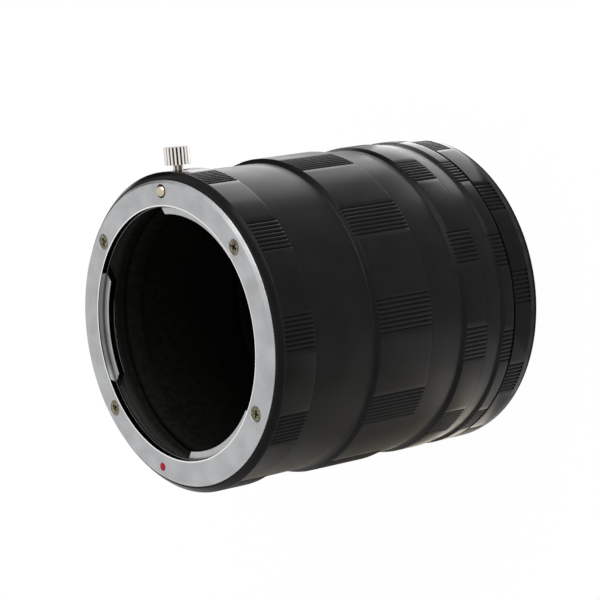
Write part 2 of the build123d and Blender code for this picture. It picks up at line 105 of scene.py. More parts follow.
class Sheet:
    """Node sheet of one material, read from its piece's Object coordinates."""

    def __init__(self, name: str) -> None:
        """Start the sheet.

        Args:
            name: name of the material.
        """
        self.material = bpy.data.materials.new(name)
        self.material.use_nodes = True
        self.tree = self.material.node_tree
        self.shader = self.tree.nodes["Principled BSDF"]
        self.place = self.add("ShaderNodeTexCoord").outputs["Object"]

    def add(self, kind: str, inputs: dict | None = None, **settings: object) -> bpy.types.Node:
        """Add a node.

        Args:
            kind: the node's type.
            inputs: sockets to set, or to link where the value is a socket.
            settings: the node's own settings.

        Returns:
            The node.
        """
        node = self.tree.nodes.new(kind)
        for name, value in settings.items():
            setattr(node, name, value)
        for name, value in (inputs or {}).items():
            if isinstance(value, bpy.types.NodeSocket):
                self.tree.links.new(value, node.inputs[name])
            else:
                node.inputs[name].default_value = value
        return node

    def surface(self, **values: object) -> None:
        """Set plain values on the shader, with underscores for the spaces in their names."""
        for name, value in values.items():
            self.shader.inputs[name.replace("_", " ")].default_value = value
    def combine(self, operation: str, first: bpy.types.NodeSocket,
                second: bpy.types.NodeSocket) -> bpy.types.NodeSocket:
        """Combine two values by one of the Math node's operations."""
        return self.add("ShaderNodeMath", {0: first, 1: second}, operation=operation).outputs[0]
    def drive(self, name: str, source: bpy.types.NodeSocket) -> None:
        """Link a source to one of the shader's sockets."""
        self.tree.links.new(source, self.shader.inputs[name])

    def noise(self, scale: float, stretch: tuple[float, float, float] = (1, 1, 1), detail: float = 3.0,
              place: bpy.types.NodeSocket | None = None) -> bpy.types.NodeSocket:
        """Add a noise pattern.

        Args:
            scale: waves in a metre.
            stretch: how much faster the pattern runs along each axis.
            detail: finer layers on top of the first.
            place: coordinates to use in place of the piece's own.

        Returns:
            The pattern's value.
        """
        mapping = self.add("ShaderNodeMapping", {"Vector": place or self.place, "Scale": stretch})
        texture = self.add("ShaderNodeTexNoise", {"Vector": mapping.outputs[0], "Scale": scale, "Detail": detail})
        return texture.outputs["Fac"]

    def spread(self, source: bpy.types.NodeSocket, low: float, high: float, start: float = 0.32,
               stop: float = 0.68) -> bpy.types.NodeSocket:
        """Stretch a pattern's middle range to run from low to high.

        Args:
            source: the pattern.
            low: value where the pattern is at start or below.
            high: value where the pattern is at stop or above.
            start: lower end of the range that is read.
            stop: upper end of the range that is read.

        Returns:
            The stretched value.
        """
        values = {"Value": source, "From Min": start, "From Max": stop, "To Min": low, "To Max": high}
        return self.add("ShaderNodeMapRange", values).outputs["Result"]

    def blend_of(self, source: bpy.types.NodeSocket, low: object, high: object) -> bpy.types.NodeSocket:
        """Mix two colours by a pattern.

        Args:
            source: the pattern.
            low: colour, or socket, where the pattern is 0.
            high: colour, or socket, where the pattern is 1.

        Returns:
            The mixed colour.
        """
        mix = self.add("ShaderNodeMix", data_type="RGBA")
        self.tree.links.new(source, mix.inputs[0])
        for number, value in ((6, low), (7, high)):
            if isinstance(value, bpy.types.NodeSocket):
                self.tree.links.new(value, mix.inputs[number])
            else:
                mix.inputs[number].default_value = (*value, 1.0)
        return mix.outputs[2]

    def tint(self, source: bpy.types.NodeSocket, dark: Sequence[float], light: Sequence[float]) -> None:
        """Colour the surface between two colours by a pattern."""
        self.drive("Base Color", self.blend_of(source, dark, light))

    def distance(self, centre: tuple[float, float, float] = (0, 0, 0),
                 across: tuple[float, float, float] = (1, 1, 0)) -> bpy.types.NodeSocket:
        """Distance from an axis.

        Args:
            centre: a point of the axis, in millimetres.
            across: 1 for the two directions that the distance is measured in, and 0 along the axis.

        Returns:
            The distance in metres.
        """
        shift = tuple(value * MM for value in centre)
        moved = self.add("ShaderNodeVectorMath", {0: self.place, 1: shift}, operation="SUBTRACT").outputs[0]
        flat = self.add("ShaderNodeVectorMath", {0: moved, 1: across}, operation="MULTIPLY").outputs[0]
        return self.add("ShaderNodeVectorMath", {0: flat}, operation="LENGTH").outputs["Value"]

    def from_axis(self) -> bpy.types.NodeSocket:
        """Distance from the optical axis, as coordinates for a turned pattern."""
        return self.add("ShaderNodeCombineXYZ", {"X": self.distance()}).outputs[0]

    def relief(self, *layers: tuple[bpy.types.NodeSocket, float, float]) -> None:
        """Lay bumps over each other.

        Args:
            layers: a pattern, its strength and its height in millimetres, finest last.
        """
        normal = None
        for height, strength, depth in layers:
            values = {"Height": height, "Strength": strength, "Distance": depth * MM}
            if normal is not None:
                values["Normal"] = normal
            normal = self.add("ShaderNodeBump", values).outputs["Normal"]
        self.drive("Normal", normal)


@dataclass(frozen=True)
class BlackAnodised:
    """Black anodised aluminium: faint turning lines under a fine blasted grain, with lighter edges that are partly
    rubbed wear and partly a painted highlight.
    """

    name: str
    sheen: Sheen
    dark: tuple[float, float, float] = (0.0035, 0.0035, 0.0037)
    light: tuple[float, float, float] = (0.0065, 0.0062, 0.0060)
    # colour of the lighter edges: partly rubbed wear, partly painted highlight
    rub_and_highlight: tuple[float, float, float] = (0.014, 0.0138, 0.0135)
    edges: tuple[float, ...] = ()
    edge_reach: float = 0.16
    rim: float = 32.9

    def make(self) -> bpy.types.Material:
        """Build the material.

        Returns:
            The material.
        """
        sheet = Sheet(self.name)
        clouds = sheet.noise(160, detail=4)
        lines = sheet.noise(2600, stretch=(0.004, 0.004, 1.0), detail=2)
        grain = sheet.noise(11000, detail=2)
        ground = sheet.blend_of(sheet.spread(clouds, 0.0, 1.0), self.dark, self.light)
        # lighter edges at the given heights: painted highlight lines, partly rubbed wear
        if self.edges:
            ground = sheet.blend_of(self.rub_and_highlight_share(sheet), ground, self.rub_and_highlight)
        sheet.drive("Base Color", ground)
        rough = self.sheen.roughness
        sheet.drive("Roughness", sheet.spread(clouds, rough - 0.035, rough + 0.035))
        sheet.relief((lines, 0.10, 0.006), (grain, 0.14, 0.010))
        sheet.surface(Specular_IOR_Level=self.sheen.specular)
        return sheet.material

    def rub_and_highlight_share(self, sheet: Sheet) -> bpy.types.NodeSocket:
        """Share of lighter edge at each point, partly rubbed wear and partly a painted highlight line.

        Args:
            sheet: the material's node sheet.

        Returns:
            1 along the edges of the ring's outside, broken up by a fine pattern, and 0 elsewhere.
        """
        height = sheet.add("ShaderNodeSeparateXYZ", {0: sheet.place}).outputs["Z"]
        share = sheet.spread(sheet.distance(), 0.0, 1.0, self.rim * MM - 0.0001, self.rim * MM)
        near = None
        for edge in self.edges:
            values = {0: height, 1: edge * MM, 2: self.edge_reach * MM}
            line = sheet.add("ShaderNodeMath", values, operation="COMPARE").outputs[0]
            near = line if near is None else sheet.combine("MAXIMUM", near, line)
        # breaks the painted edge highlight up like rubbed wear
        breakup = sheet.spread(sheet.noise(420, detail=3), 0.35, 1.0)
        return sheet.combine("MULTIPLY", sheet.combine("MULTIPLY", near, share), breakup)


@dataclass(frozen=True)
class MatteBore:
    """Dull black inside of the rings, ridged against stray light, with painted light that turns it greyer towards the
    front.
    """

    name: str = "matte_bore"
    ridges_per_metre: float = 2200.0
    # colour of the painted light near the front
    painted_light_grey: tuple[float, float, float] = (0.060, 0.060, 0.056)
    deep: float = 73.2
    front: float = 76.2

    def make(self) -> bpy.types.Material:
        """Build the material.

        Returns:
            The material.
        """
        sheet = Sheet(self.name)
        wave = sheet.add("ShaderNodeTexWave", {"Vector": sheet.place, "Scale": self.ridges_per_metre / math.tau},
                         bands_direction="Z")
        dust = sheet.noise(700, detail=5)
        ground = sheet.blend_of(sheet.spread(dust, 0.0, 1.0), (0.0100, 0.0098, 0.0080), (0.0180, 0.0176, 0.0146))
        height = sheet.add("ShaderNodeSeparateXYZ", {0: sheet.place}).outputs["Z"]
        # painted light: grey near the front where light falls in, fading to black deeper down
        depth = sheet.spread(height, 0.0, 1.0, self.deep * MM, self.front * MM)
        sheet.drive("Base Color", sheet.blend_of(depth, ground, self.painted_light_grey))
        sheet.drive("Roughness", sheet.spread(dust, 0.80, 0.92))
        sheet.relief((wave.outputs["Fac"], 0.20, 0.06), (dust, 0.15, 0.02))
        sheet.surface(Specular_IOR_Level=0.0)
        return sheet.material


@dataclass(frozen=True)
class SatinPlate:
    """Satin plated bayonet ring: turned, lightly blasted and a little mottled, with a painted shadow just inside the
    throat and a painted highlight along the throat's edge.
    """

    name: str = "satin_plate"
    dark: tuple[float, float, float] = (0.370, 0.375, 0.383)
    light: tuple[float, float, float] = (0.455, 0.460, 0.466)
    # colours of the painted shadow inside the throat and the painted highlight on its edge
    painted_shadow_tone: tuple[float, float, float] = (0.05, 0.05, 0.05)
    painted_highlight_tone: tuple[float, float, float] = (0.86, 0.86, 0.85)
    throat: float = 27.0

    def make(self) -> bpy.types.Material:
        """Build the material.

        Returns:
            The material.
        """
        sheet = Sheet(self.name)
        mottle = sheet.noise(210, detail=6)
        speck = sheet.noise(2600, detail=3)
        turned_lines = sheet.noise(5200, detail=2, place=sheet.from_axis())
        ground = sheet.blend_of(sheet.spread(mottle, 0.0, 1.0, 0.30, 0.62), self.dark, self.light)
        reach = sheet.distance()
        # painted shadow: a dark ring just inside the throat, where the plate's edge overhangs the tabs
        shaded = sheet.spread(reach, 0.0, 0.95, (self.throat - 0.60) * MM, (self.throat - 0.20) * MM)
        beyond = sheet.spread(reach, 1.0, 0.0, (self.throat - 0.01) * MM, self.throat * MM)
        ground = sheet.blend_of(sheet.combine("MULTIPLY", shaded, beyond), ground, self.painted_shadow_tone)
        # painted highlight: a light line just outside the throat, along the plate's inner edge
        edge = sheet.spread(reach, 1.0, 0.0, (self.throat + 0.22) * MM, (self.throat + 0.32) * MM)
        inside = sheet.spread(reach, 0.0, 1.0, (self.throat - 0.01) * MM, self.throat * MM)
        lit = sheet.combine("MULTIPLY", edge, inside)
        sheet.drive("Base Color", sheet.blend_of(lit, ground, self.painted_highlight_tone))
        sheet.drive("Roughness", sheet.spread(speck, 0.30, 0.42))
        sheet.relief((turned_lines, 0.07, 0.006), (speck, 0.10, 0.008))
        sheet.surface(Metallic=1.0)
        return sheet.material


@dataclass(frozen=True)
class TurnedWall:
    """Smooth turned wall of the throat and of the bayonet tabs."""

    name: str = "turned_wall"

    def make(self) -> bpy.types.Material:
        """Build the material.

        Returns:
            The material.
        """
        sheet = Sheet(self.name)
        lines = sheet.noise(4200, stretch=(0.02, 0.02, 1.0), detail=2)
        sheet.tint(sheet.spread(lines, 0.0, 1.0), (0.30, 0.30, 0.30), (0.42, 0.42, 0.42))
        sheet.drive("Roughness", sheet.spread(lines, 0.08, 0.16))
        sheet.relief((lines, 0.06, 0.004))
        sheet.surface(Metallic=1.0)
        return sheet.material


@dataclass(frozen=True)
class FlutedSteel:
    """Steel of the lock's knob, bright on its ridges, with painted shade in its flutes and on its stem, and painted
    reflection stripes along the stem.
    """

    axis_height: float
    radius: float
    name: str = "fluted_steel"
    bright: tuple[float, float, float] = (0.80, 0.77, 0.74)
    # painted shade colour of the flutes and the stem
    flute_shade: tuple[float, float, float] = (0.085, 0.070, 0.060)
    # colour of the painted reflection stripes along the stem
    stem: tuple[float, float, float] = (0.62, 0.57, 0.52)
    stem_radius: float = 1.30

    def make(self) -> bpy.types.Material:
        """Build the material.

        Returns:
            The material.
        """
        sheet = Sheet(self.name)
        lines = sheet.noise(5200, stretch=(0.15, 1.0, 0.15), detail=2)
        streaks = sheet.noise(1700, stretch=(1.0, 0.02, 1.0), detail=1)
        reach = sheet.distance((0, 0, self.axis_height), (1, 0, 1))
        # painted shade: darker towards the flute bottoms and all over the stem
        stain_and_shade = sheet.spread(reach, 1.0, 0.0, (self.radius - 0.34) * MM, (self.radius - 0.10) * MM)
        on_stem = sheet.spread(reach, 1.0, 0.0, self.stem_radius * MM, (self.stem_radius + 0.05) * MM)
        # painted reflections: light stripes along the stem
        reflection_stripes = sheet.combine("MULTIPLY", on_stem, sheet.spread(streaks, 0.0, 1.0, 0.46, 0.60))
        ground = sheet.blend_of(stain_and_shade, self.bright, self.flute_shade)
        sheet.drive("Base Color", sheet.blend_of(reflection_stripes, ground, self.stem))
        sheet.drive("Roughness", sheet.spread(lines, 0.14, 0.26))
        sheet.relief((lines, 0.10, 0.006))
        sheet.surface(Metallic=1.0)
        return sheet.material


@dataclass(frozen=True)
class TurnedSteel:
    """Warm turned steel of the lock's pin."""

    name: str = "turned_steel"
    tone: tuple[float, float, float] = (0.62, 0.54, 0.42)
    roughness: float = 0.15

    def make(self) -> bpy.types.Material:
        """Build the material.

        Returns:
            The material.
        """
        sheet = Sheet(self.name)
        lines = sheet.noise(5200, stretch=(0.15, 1.0, 0.15), detail=2)
        stain_and_shade = sheet.noise(900, detail=4)
        dull = tuple(value * 0.82 for value in self.tone)
        sheet.tint(sheet.spread(stain_and_shade, 0.0, 1.0), dull, self.tone)
        sheet.drive("Roughness", sheet.spread(lines, self.roughness - 0.05, self.roughness + 0.08))
        sheet.relief((lines, 0.10, 0.006))
        sheet.surface(Metallic=1.0)
        return sheet.material


@dataclass(frozen=True)
class ScrewBronze:
    """Yellowish plated screws with a greenish bloom."""

    name: str = "screw_bronze"

    def make(self) -> bpy.types.Material:
        """Build the material.

        Returns:
            The material.
        """
        sheet = Sheet(self.name)
        bloom = sheet.noise(1500, detail=5)
        turned = sheet.noise(9000, detail=2)
        sheet.tint(sheet.spread(bloom, 0.0, 1.0), (0.045, 0.038, 0.024), (0.300, 0.280, 0.190))
        sheet.drive("Roughness", sheet.spread(bloom, 0.46, 0.26))
        sheet.relief((turned, 0.12, 0.008))
        sheet.surface(Metallic=1.0)
        return sheet.material


@dataclass(frozen=True)
class SpringSteel:
    """Rolled spring steel of the leaf springs and the lock spring."""

    name: str = "spring_steel"

    def make(self) -> bpy.types.Material:
        """Build the material.

        Returns:
            The material.
        """
        sheet = Sheet(self.name)
        rolled = sheet.noise(3000, stretch=(0.1, 0.1, 1.0), detail=3)
        sheet.tint(sheet.spread(rolled, 0.0, 1.0), (0.46, 0.46, 0.45), (0.66, 0.65, 0.63))
        sheet.drive("Roughness", sheet.spread(rolled, 0.20, 0.34))
        sheet.relief((rolled, 0.10, 0.005))
        sheet.surface(Metallic=1.0)
        return sheet.material


@dataclass(frozen=True)
class RedEnamel:
    """Glossy red filling of the index dots."""

    name: str = "red_enamel"

    def make(self) -> bpy.types.Material:
        """Build the material.

        Returns:
            The material.
        """
        sheet = Sheet(self.name)
        flow = sheet.noise(1800, detail=3)
        sheet.tint(sheet.spread(flow, 0.0, 1.0), (0.40, 0.003, 0.022), (0.58, 0.008, 0.045))
        sheet.drive("Roughness", sheet.spread(flow, 0.22, 0.34))
        sheet.relief((flow, 0.10, 0.02))
        sheet.surface(Specular_IOR_Level=0.15)
        return sheet.material


@dataclass(frozen=True)
class Corner:
    """One corner of a turned outline, in millimetres from the axis and the floor."""

    radius: float
    height: float
    soft: float = 0.0
    steps: int = 2
    hold: float = 0.0


def outline(corners: Sequence[Corner], closed: bool = True) -> list[tuple[float, float]]:
    """Points of an outline with its soft corners rounded.

    Args:
        corners: the corners in order.
        closed: whether the last corner joins the first.

    Returns:
        Radius and height of each point.
    """
    points: list[tuple[float, float]] = []
    for number, corner in enumerate(corners):
        here = Vector((corner.radius, corner.height))
        at_end = not closed and number in (0, len(corners) - 1)
        if corner.soft == 0 or at_end:
            points.append(tuple(here))
            continue
        before = corners[number - 1]
        after = corners[(number + 1) % len(corners)]
        back = (Vector((before.radius, before.height)) - here).normalized()
        ahead = (Vector((after.radius, after.height)) - here).normalized()
        start, end = here + back * corner.soft, here + ahead * corner.soft
        if corner.hold:
            points.append(tuple(start + back * corner.hold))
        for step in range(corner.steps + 1):
            t = step / corner.steps
            points.append(tuple(start * (1 - t) ** 2 + here * 2 * t * (1 - t) + end * t ** 2))
        if corner.hold:
            points.append(tuple(end + ahead * corner.hold))
    return points


def polar(radius: float, angle_deg: float, height: float) -> Vector:
    """Place in metres from a radius, an angle and a height in millimetres."""
    angle = math.radians(angle_deg)
    return Vector((radius * math.cos(angle), radius * math.sin(angle), height)) * MM


def distance_from_axis(point: Vector) -> float:
    """Distance from the optical axis in millimetres."""
    return math.hypot(point.x, point.y) / MM


def take(piece: bpy.types.Object) -> None:
    """Select one piece alone and make it the active one.

    Args:
        piece: the piece to select.
    """
    bpy.ops.object.select_all(action="DESELECT")
    bpy.context.view_layer.objects.active = piece
    piece.select_set(True)


def edit(piece: bpy.types.Object) -> None:
    """Open one piece in edit mode, working on points.

    Args:
        piece: the piece to open.
    """
    take(piece)
    bpy.context.tool_settings.mesh_select_mode = (True, False, False)
    bpy.ops.object.mode_set(mode="EDIT")


def leave_edit() -> None:
    """Close edit mode."""
    bpy.ops.object.mode_set(mode="OBJECT")


def pick(piece: bpy.types.Object, wanted: Callable[[Vector], bool]) -> int:
    """Select the points of the piece in edit mode that a test accepts.

    Args:
        piece: the piece in edit mode.
        wanted: test of a point's place.

    Returns:
        How many points are selected.
    """
    mesh = bmesh.from_edit_mesh(piece.data)
    for face in mesh.faces:
        face.select = False
    for edge in mesh.edges:
        edge.select = False
    count = 0
    for point in mesh.verts:
        point.select = wanted(point.co)
        count += point.select
    mesh.select_flush_mode()
    bmesh.update_edit_mesh(piece.data)
    return count


def tidy_surface(piece: bpy.types.Object) -> None:
    """Merge doubled points of the piece in edit mode and point its faces outwards.

    Args:
        piece: the piece in edit mode.
    """
    bpy.ops.mesh.select_all(action="SELECT")
    bpy.ops.mesh.remove_doubles(threshold=MERGE_DISTANCE)
    bpy.ops.mesh.normals_make_consistent(inside=False)


def draw_outline(name: str, points: Sequence[tuple[float, float]], angle_deg: float = 0.0) -> bpy.types.Object:
    """Draw a piece's closed outline, point by point, at one angle about the axis.

    Args:
        name: name of the piece.
        points: radius and height of each point.
        angle_deg: angle that the outline stands at.

    Returns:
        The piece, open in edit mode with its outline selected.
    """
    places = [polar(radius, angle_deg, height) for radius, height in points]
    bpy.ops.object.select_all(action="DESELECT")
    bpy.ops.mesh.primitive_plane_add(size=MM, location=places[0])
    piece = bpy.context.object
    piece.name = piece.data.name = name
    settle(piece)
    edit(piece)
    bpy.ops.mesh.select_all(action="SELECT")
    bpy.ops.mesh.merge(type="CENTER")
    for before, after in zip(places, places[1:]):
        bpy.ops.mesh.extrude_vertices_move(TRANSFORM_OT_translate={"value": after - before})
    ends = (places[0], places[-1])
    pick(piece, lambda point: min((point - end).length for end in ends) < HAIR)
    bpy.ops.mesh.edge_face_add()
    bpy.ops.mesh.select_all(action="SELECT")
    return piece


def turn_by(step_deg: float, steps: int = 1, copies: bool = False) -> None:
    """Spin the selection about the axis, counter-clockwise seen from the lens side.

    Args:
        step_deg: whole angle to turn through.
        steps: how many steps it takes.
        copies: whether to leave copies in place of a skin.
    """
    bpy.ops.mesh.spin(steps=steps, angle=-math.radians(step_deg), dupli=copies, center=(0, 0, 0), axis=(0, 0, 1))


def turned(name: str, points: Sequence[tuple[float, float]], steps: int) -> bpy.types.Object:
    """Turn an outline all the way round the axis.

    Args:
        name: name of the piece.
        points: radius and height of each point.
        steps: steps of the turn.

    Returns:
        The piece.
    """
    piece = draw_outline(name, points)
    turn_by(360, steps=steps)
    tidy_surface(piece)
    leave_edit()
    return piece


def wind(name: str, section: Sequence[tuple[float, float]], rise: float, turns: float,
         steps: int) -> bpy.types.Object:
    """Wind a section up round the axis.

    Args:
        name: name of the piece.
        section: radius and height of each point.
        rise: how far it climbs in all, in millimetres.
        turns: how many turns it makes.
        steps: steps in all.

    Returns:
        The piece, open at its two ends.
    """
    piece = draw_outline(name, section)
    leave_edit()
    modifier = piece.modifiers.new("wind", "SCREW")
    modifier.axis = "Z"
    modifier.angle = math.tau * turns
    modifier.screw_offset = rise * MM
    modifier.steps = modifier.render_steps = steps
    modifier.use_merge_vertices = False
    bpy.ops.object.modifier_apply(modifier=modifier.name)
    return piece


def carve(piece: bpy.types.Object, cutter: bpy.types.Object) -> None:
    """Cut one piece with another, which is used up.

    Args:
        piece: the piece that is cut.
        cutter: the piece that cuts it.
    """
    take(piece)
    modifier = piece.modifiers.new("carve", "BOOLEAN")
    modifier.operation = "DIFFERENCE"
    modifier.solver = "EXACT"
    modifier.object = cutter
    bpy.ops.object.modifier_apply(modifier=modifier.name)
    bpy.data.objects.remove(cutter)


def join(target: bpy.types.Object, others: Sequence[bpy.types.Object]) -> None:
    """Join other pieces into one.

    Args:
        target: the piece that stays.
        others: the pieces that go into it.
    """
    take(target)
    for other in others:
        other.select_set(True)
    bpy.ops.object.join()


def settle(piece: bpy.types.Object) -> None:
    """Put the piece's place, turn and scale into its mesh."""
    take(piece)
    bpy.ops.object.transform_apply(location=True, rotation=True, scale=True)


def move_mesh(piece: bpy.types.Object, placing: Matrix) -> None:
    """Carry a piece that was modelled at the origin to its place."""
    piece.matrix_world = placing
    settle(piece)


def copy_of(piece: bpy.types.Object, name: str) -> bpy.types.Object:
    """Copy a piece with its own mesh.

    Args:
        piece: the piece to copy.
        name: name of the copy.

    Returns:
        The copy.
    """
    copy = piece.copy()
    copy.data = piece.data.copy()
    copy.name = name
    copy.data.name = name
    bpy.context.scene.collection.objects.link(copy)
    return copy


def round_off(piece: bpy.types.Object, sharp_deg: float) -> None:
    """Shade the piece smooth except across its sharper edges."""
    take(piece)
    bpy.ops.object.shade_smooth_by_angle(angle=math.radians(sharp_deg))


def dress(piece: bpy.types.Object, materials: Sequence[bpy.types.Material], sharp_deg: float, body: str,
          node: str) -> None:
    """Finish a modelled piece and put it in the part.

    Args:
        piece: the piece.
        materials: its materials, the first of them on every face.
        sharp_deg: angle from which an edge stays sharp.
        body: body that the piece rides on.
        node: CAD node that it stands for.
    """
    piece.data.materials.clear()
    for material in materials:
        piece.data.materials.append(material)
    round_off(piece, sharp_deg)
    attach(piece, body)
    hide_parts(node)
    LOG.info("%s built", piece.name)


@dataclass(frozen=True)
class Grip:
    """Straight V grooves in patches round a band, in millimetres and degrees."""

    radius: float
    bottom: float
    top: float
    turn_deg: float
    patches: int = 10
    grooves: int = 8
    pitch_deg: float = 1.65
    depth: float = 0.35
    flank: tuple[tuple[float, float], ...] = ((0.47, 0.0), (0.28, 0.09), (0.17, 0.18), (0.06, 0.35))
    plain_steps: int = 6

    @property
    def sector_deg(self) -> float:
        """Angle that one patch and the plain stretch beside it take."""
        return 360.0 / self.patches

    def columns(self) -> list[tuple[float, float]]:
        """Angle from the patch's middle, and depth, of each column of points in one sector.

        Returns:
            Angle in degrees and depth in millimetres of each column.
        """
        half_sector = self.sector_deg / 2
        half_patch = self.grooves * self.pitch_deg / 2
        plain = [-half_sector + step * (half_sector - half_patch) / self.plain_steps
                 for step in range(self.plain_steps)]
        middle = (self.grooves - 1) / 2
        across = [(-offset, depth) for offset, depth in self.flank]
        across += [(offset, depth) for offset, depth in reversed(self.flank)]
        per_mm = math.degrees(1 / self.radius)
        cuts = [((number - middle) * self.pitch_deg + offset * per_mm, depth)
                for number in range(self.grooves) for offset, depth in across]
        mirrored = [(-angle, 0.0) for angle in reversed(plain)]
        return [(angle, 0.0) for angle in plain] + cuts + mirrored

    def press_in(self, piece: bpy.types.Object) -> None:
        """Press the grooves into one sector of the piece, which is open in edit mode.

        Args:
            piece: the piece in edit mode.
        """
        mesh = bmesh.from_edit_mesh(piece.data)
        rows = sorted({round(distance_from_axis(point.co), 4) for point in mesh.verts
                       if self.bottom <= point.co.z / MM <= self.top})
        for depth in sorted({depth for _, depth in self.columns() if depth > 0}):
            floor = self.radius - depth
            angles = [math.radians(self.turn_deg + angle) for angle, cut in self.columns() if cut == depth]
            for row in rows:
                if row <= floor + 1e-3:
                    continue
                self.press_row(piece, row, floor, angles)

    def press_row(self, piece: bpy.types.Object, row: float, floor: float, angles: Sequence[float]) -> None:
        """Bring the points of one row at the given angles in to the grooves' floor.

        Args:
            piece: the piece in edit mode.
            row: distance of the row from the axis.
            floor: distance of the grooves' floor from the axis.
            angles: angles of the columns, in radians.
        """
        def on_row(point: Vector) -> bool:
            """Whether a point lies on the row at one of the angles.

            Args:
                point: the point's place.

            Returns:
                Whether it does.
            """
            if not self.bottom <= point.z / MM <= self.top or abs(distance_from_axis(point) - row) > 1e-3:
                return False
            angle = math.atan2(point.y, point.x)
            return any(abs(math.remainder(angle - other, math.tau)) < 1e-4 for other in angles)

        if pick(piece, on_row):
            scale = floor / row
            bpy.ops.transform.resize(value=(scale, scale, 1.0), center_override=(0, 0, 0))


@dataclass(frozen=True)
class Thread:
    """Fine 57 mm thread, wound as one ridge that runs out at both ends."""

    root: float
    crest: float
    bottom: float
    top: float
    pitch: float = 0.75
    sunk: float = 0.03
    half_base: float = 0.35
    half_crest: float = 0.07
    steps_per_turn: int = 96
    run_out_deg: float = 50.0

    def make(self, name: str) -> bpy.types.Object:
        """Wind the ridge.

        Args:
            name: name of the ridge.

        Returns:
            The ridge as a mesh of its own.
        """
        base = self.root + (self.sunk if self.crest < self.root else -self.sunk)
        low, high = self.half_base * self.pitch, self.half_crest * self.pitch
        turns = (self.top - self.bottom) / self.pitch
        section = [(base, self.bottom - low), (self.crest, self.bottom - high),
                   (self.crest, self.bottom + high), (base, self.bottom + low)]
        piece = wind(name, section, self.top - self.bottom, turns, round(turns * self.steps_per_turn))
        self.run_out(piece, base)
        edit(piece)
        tidy_surface(piece)
        leave_edit()
        return piece

    def run_out(self, piece: bpy.types.Object, base: float) -> None:
        """Let the ridge's crest sink into the wall at both ends.

        Args:
            piece: the ridge.
            base: distance of the ridge's foot from the axis.
        """
        reach = self.run_out_deg / 360 * self.pitch
        for point in piece.data.vertices:
            radius = distance_from_axis(point.co)
            height = point.co.z / MM
            nearest = min(height - self.bottom, self.top - height)
            share = min(max(nearest / reach, 0.0), 1.0)
            wanted = base + (radius - base) * share
            point.co.x *= wanted / radius
            point.co.y *= wanted / radius


@dataclass
class TurnedRing:
    """A ring turned from an outline, with or without a grip band."""

    name: str
    corners: Sequence[Corner]
    grip: Grip | None = None
    sectors: int = 10
    steps_per_sector: int = 24

    def make(self) -> bpy.types.Object:
        """Turn the ring.

        Returns:
            The ring as a closed mesh.
        """
        if self.grip:
            columns = [angle for angle, _ in self.grip.columns()]
            piece = draw_outline(self.name, outline(self.corners), self.grip.turn_deg + columns[0])
            for before, after in zip(columns, columns[1:]):
                turn_by(after - before)
            self.grip.press_in(piece)
        else:
            piece = draw_outline(self.name, outline(self.corners))
            turn_by(360 / self.sectors, steps=self.steps_per_sector)
        sector = 360 / self.sectors
        bpy.ops.mesh.select_all(action="SELECT")
        turn_by(360 - sector, steps=self.sectors - 1, copies=True)
        tidy_surface(piece)
        leave_edit()
        return piece


@dataclass(frozen=True)
class BayonetTab:
    """One bayonet tab, part of a ring with slanted ends."""

    centre_deg: float
    inner: float
    outer: float
    bottom: float
    top: float
    inner_width_deg: float
    outer_width_deg: float
    steps: int = 48

    def make(self, name: str) -> bpy.types.Object:
        """Turn the tab.

        Args:
            name: name of the tab.

        Returns:
            The tab as a closed mesh.
        """
        widest = max(self.inner_width_deg, self.outer_width_deg)
        corners = [Corner(radius, height, 0.08) for radius, height in (
            (self.inner, self.bottom), (self.outer, self.bottom), (self.outer, self.top), (self.inner, self.top))]
        piece = draw_outline(name, outline(corners), -widest / 2)
        turn_by(widest, steps=self.steps)
        bpy.ops.mesh.select_all(action="SELECT")
        bpy.ops.mesh.fill_holes(sides=0)
        self.slant(piece, widest)
        tidy_surface(piece)
        leave_edit()
        return piece



    def slant(self, piece: bpy.types.Object, widest: float) -> None:
        """Narrow the tab evenly towards its narrower edge and turn it to its place.

        Args:
            piece: the tab in edit mode.
            widest: angle that the tab takes before it is narrowed.
        """
        mesh = bmesh.from_edit_mesh(piece.data)
        for point in mesh.verts:
            radius = distance_from_axis(point.co)
            share = min(max((radius - self.inner) / (self.outer - self.inner), 0.0), 1.0)
            width = self.inner_width_deg + (self.outer_width_deg - self.inner_width_deg) * share
            angle = math.degrees(math.atan2(point.co.y, point.co.x)) * width / widest
            point.co = polar(radius, self.centre_deg + angle, point.co.z / MM)
        bmesh.update_edit_mesh(piece.data)


@dataclass(frozen=True)
class Stack:
    """Heights of the set, read from the frame, in millimetres."""

    camera_flange: float
    camera_ring: float
    short_tube: float
    middle_tube: float
    long_tube: float
    lens_ring: float
    lens_face: float

    @classmethod
    def read(cls) -> "Stack":
        """Read the heights from the CAD nodes.

        Returns:
            The stack.
        """
        return cls(
            camera_flange=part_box("camera_index_dot")[0].z / MM,
            camera_ring=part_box("camera_mount_housing")[0].z / MM,
            short_tube=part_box("short_tube")[0].z / MM,
            middle_tube=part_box("middle_tube")[0].z / MM,
            long_tube=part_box("long_tube")[0].z / MM,
            lens_ring=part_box("lens_mount_housing")[0].z / MM,
            lens_face=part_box("lens_mount_plate")[1].z / MM)


def reach_of(node: str) -> float:
    """Largest distance of a CAD node from the axis along X or Y, in millimetres."""
    low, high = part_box(node)
    return max(-low.x, -low.y, high.x, high.y) / MM


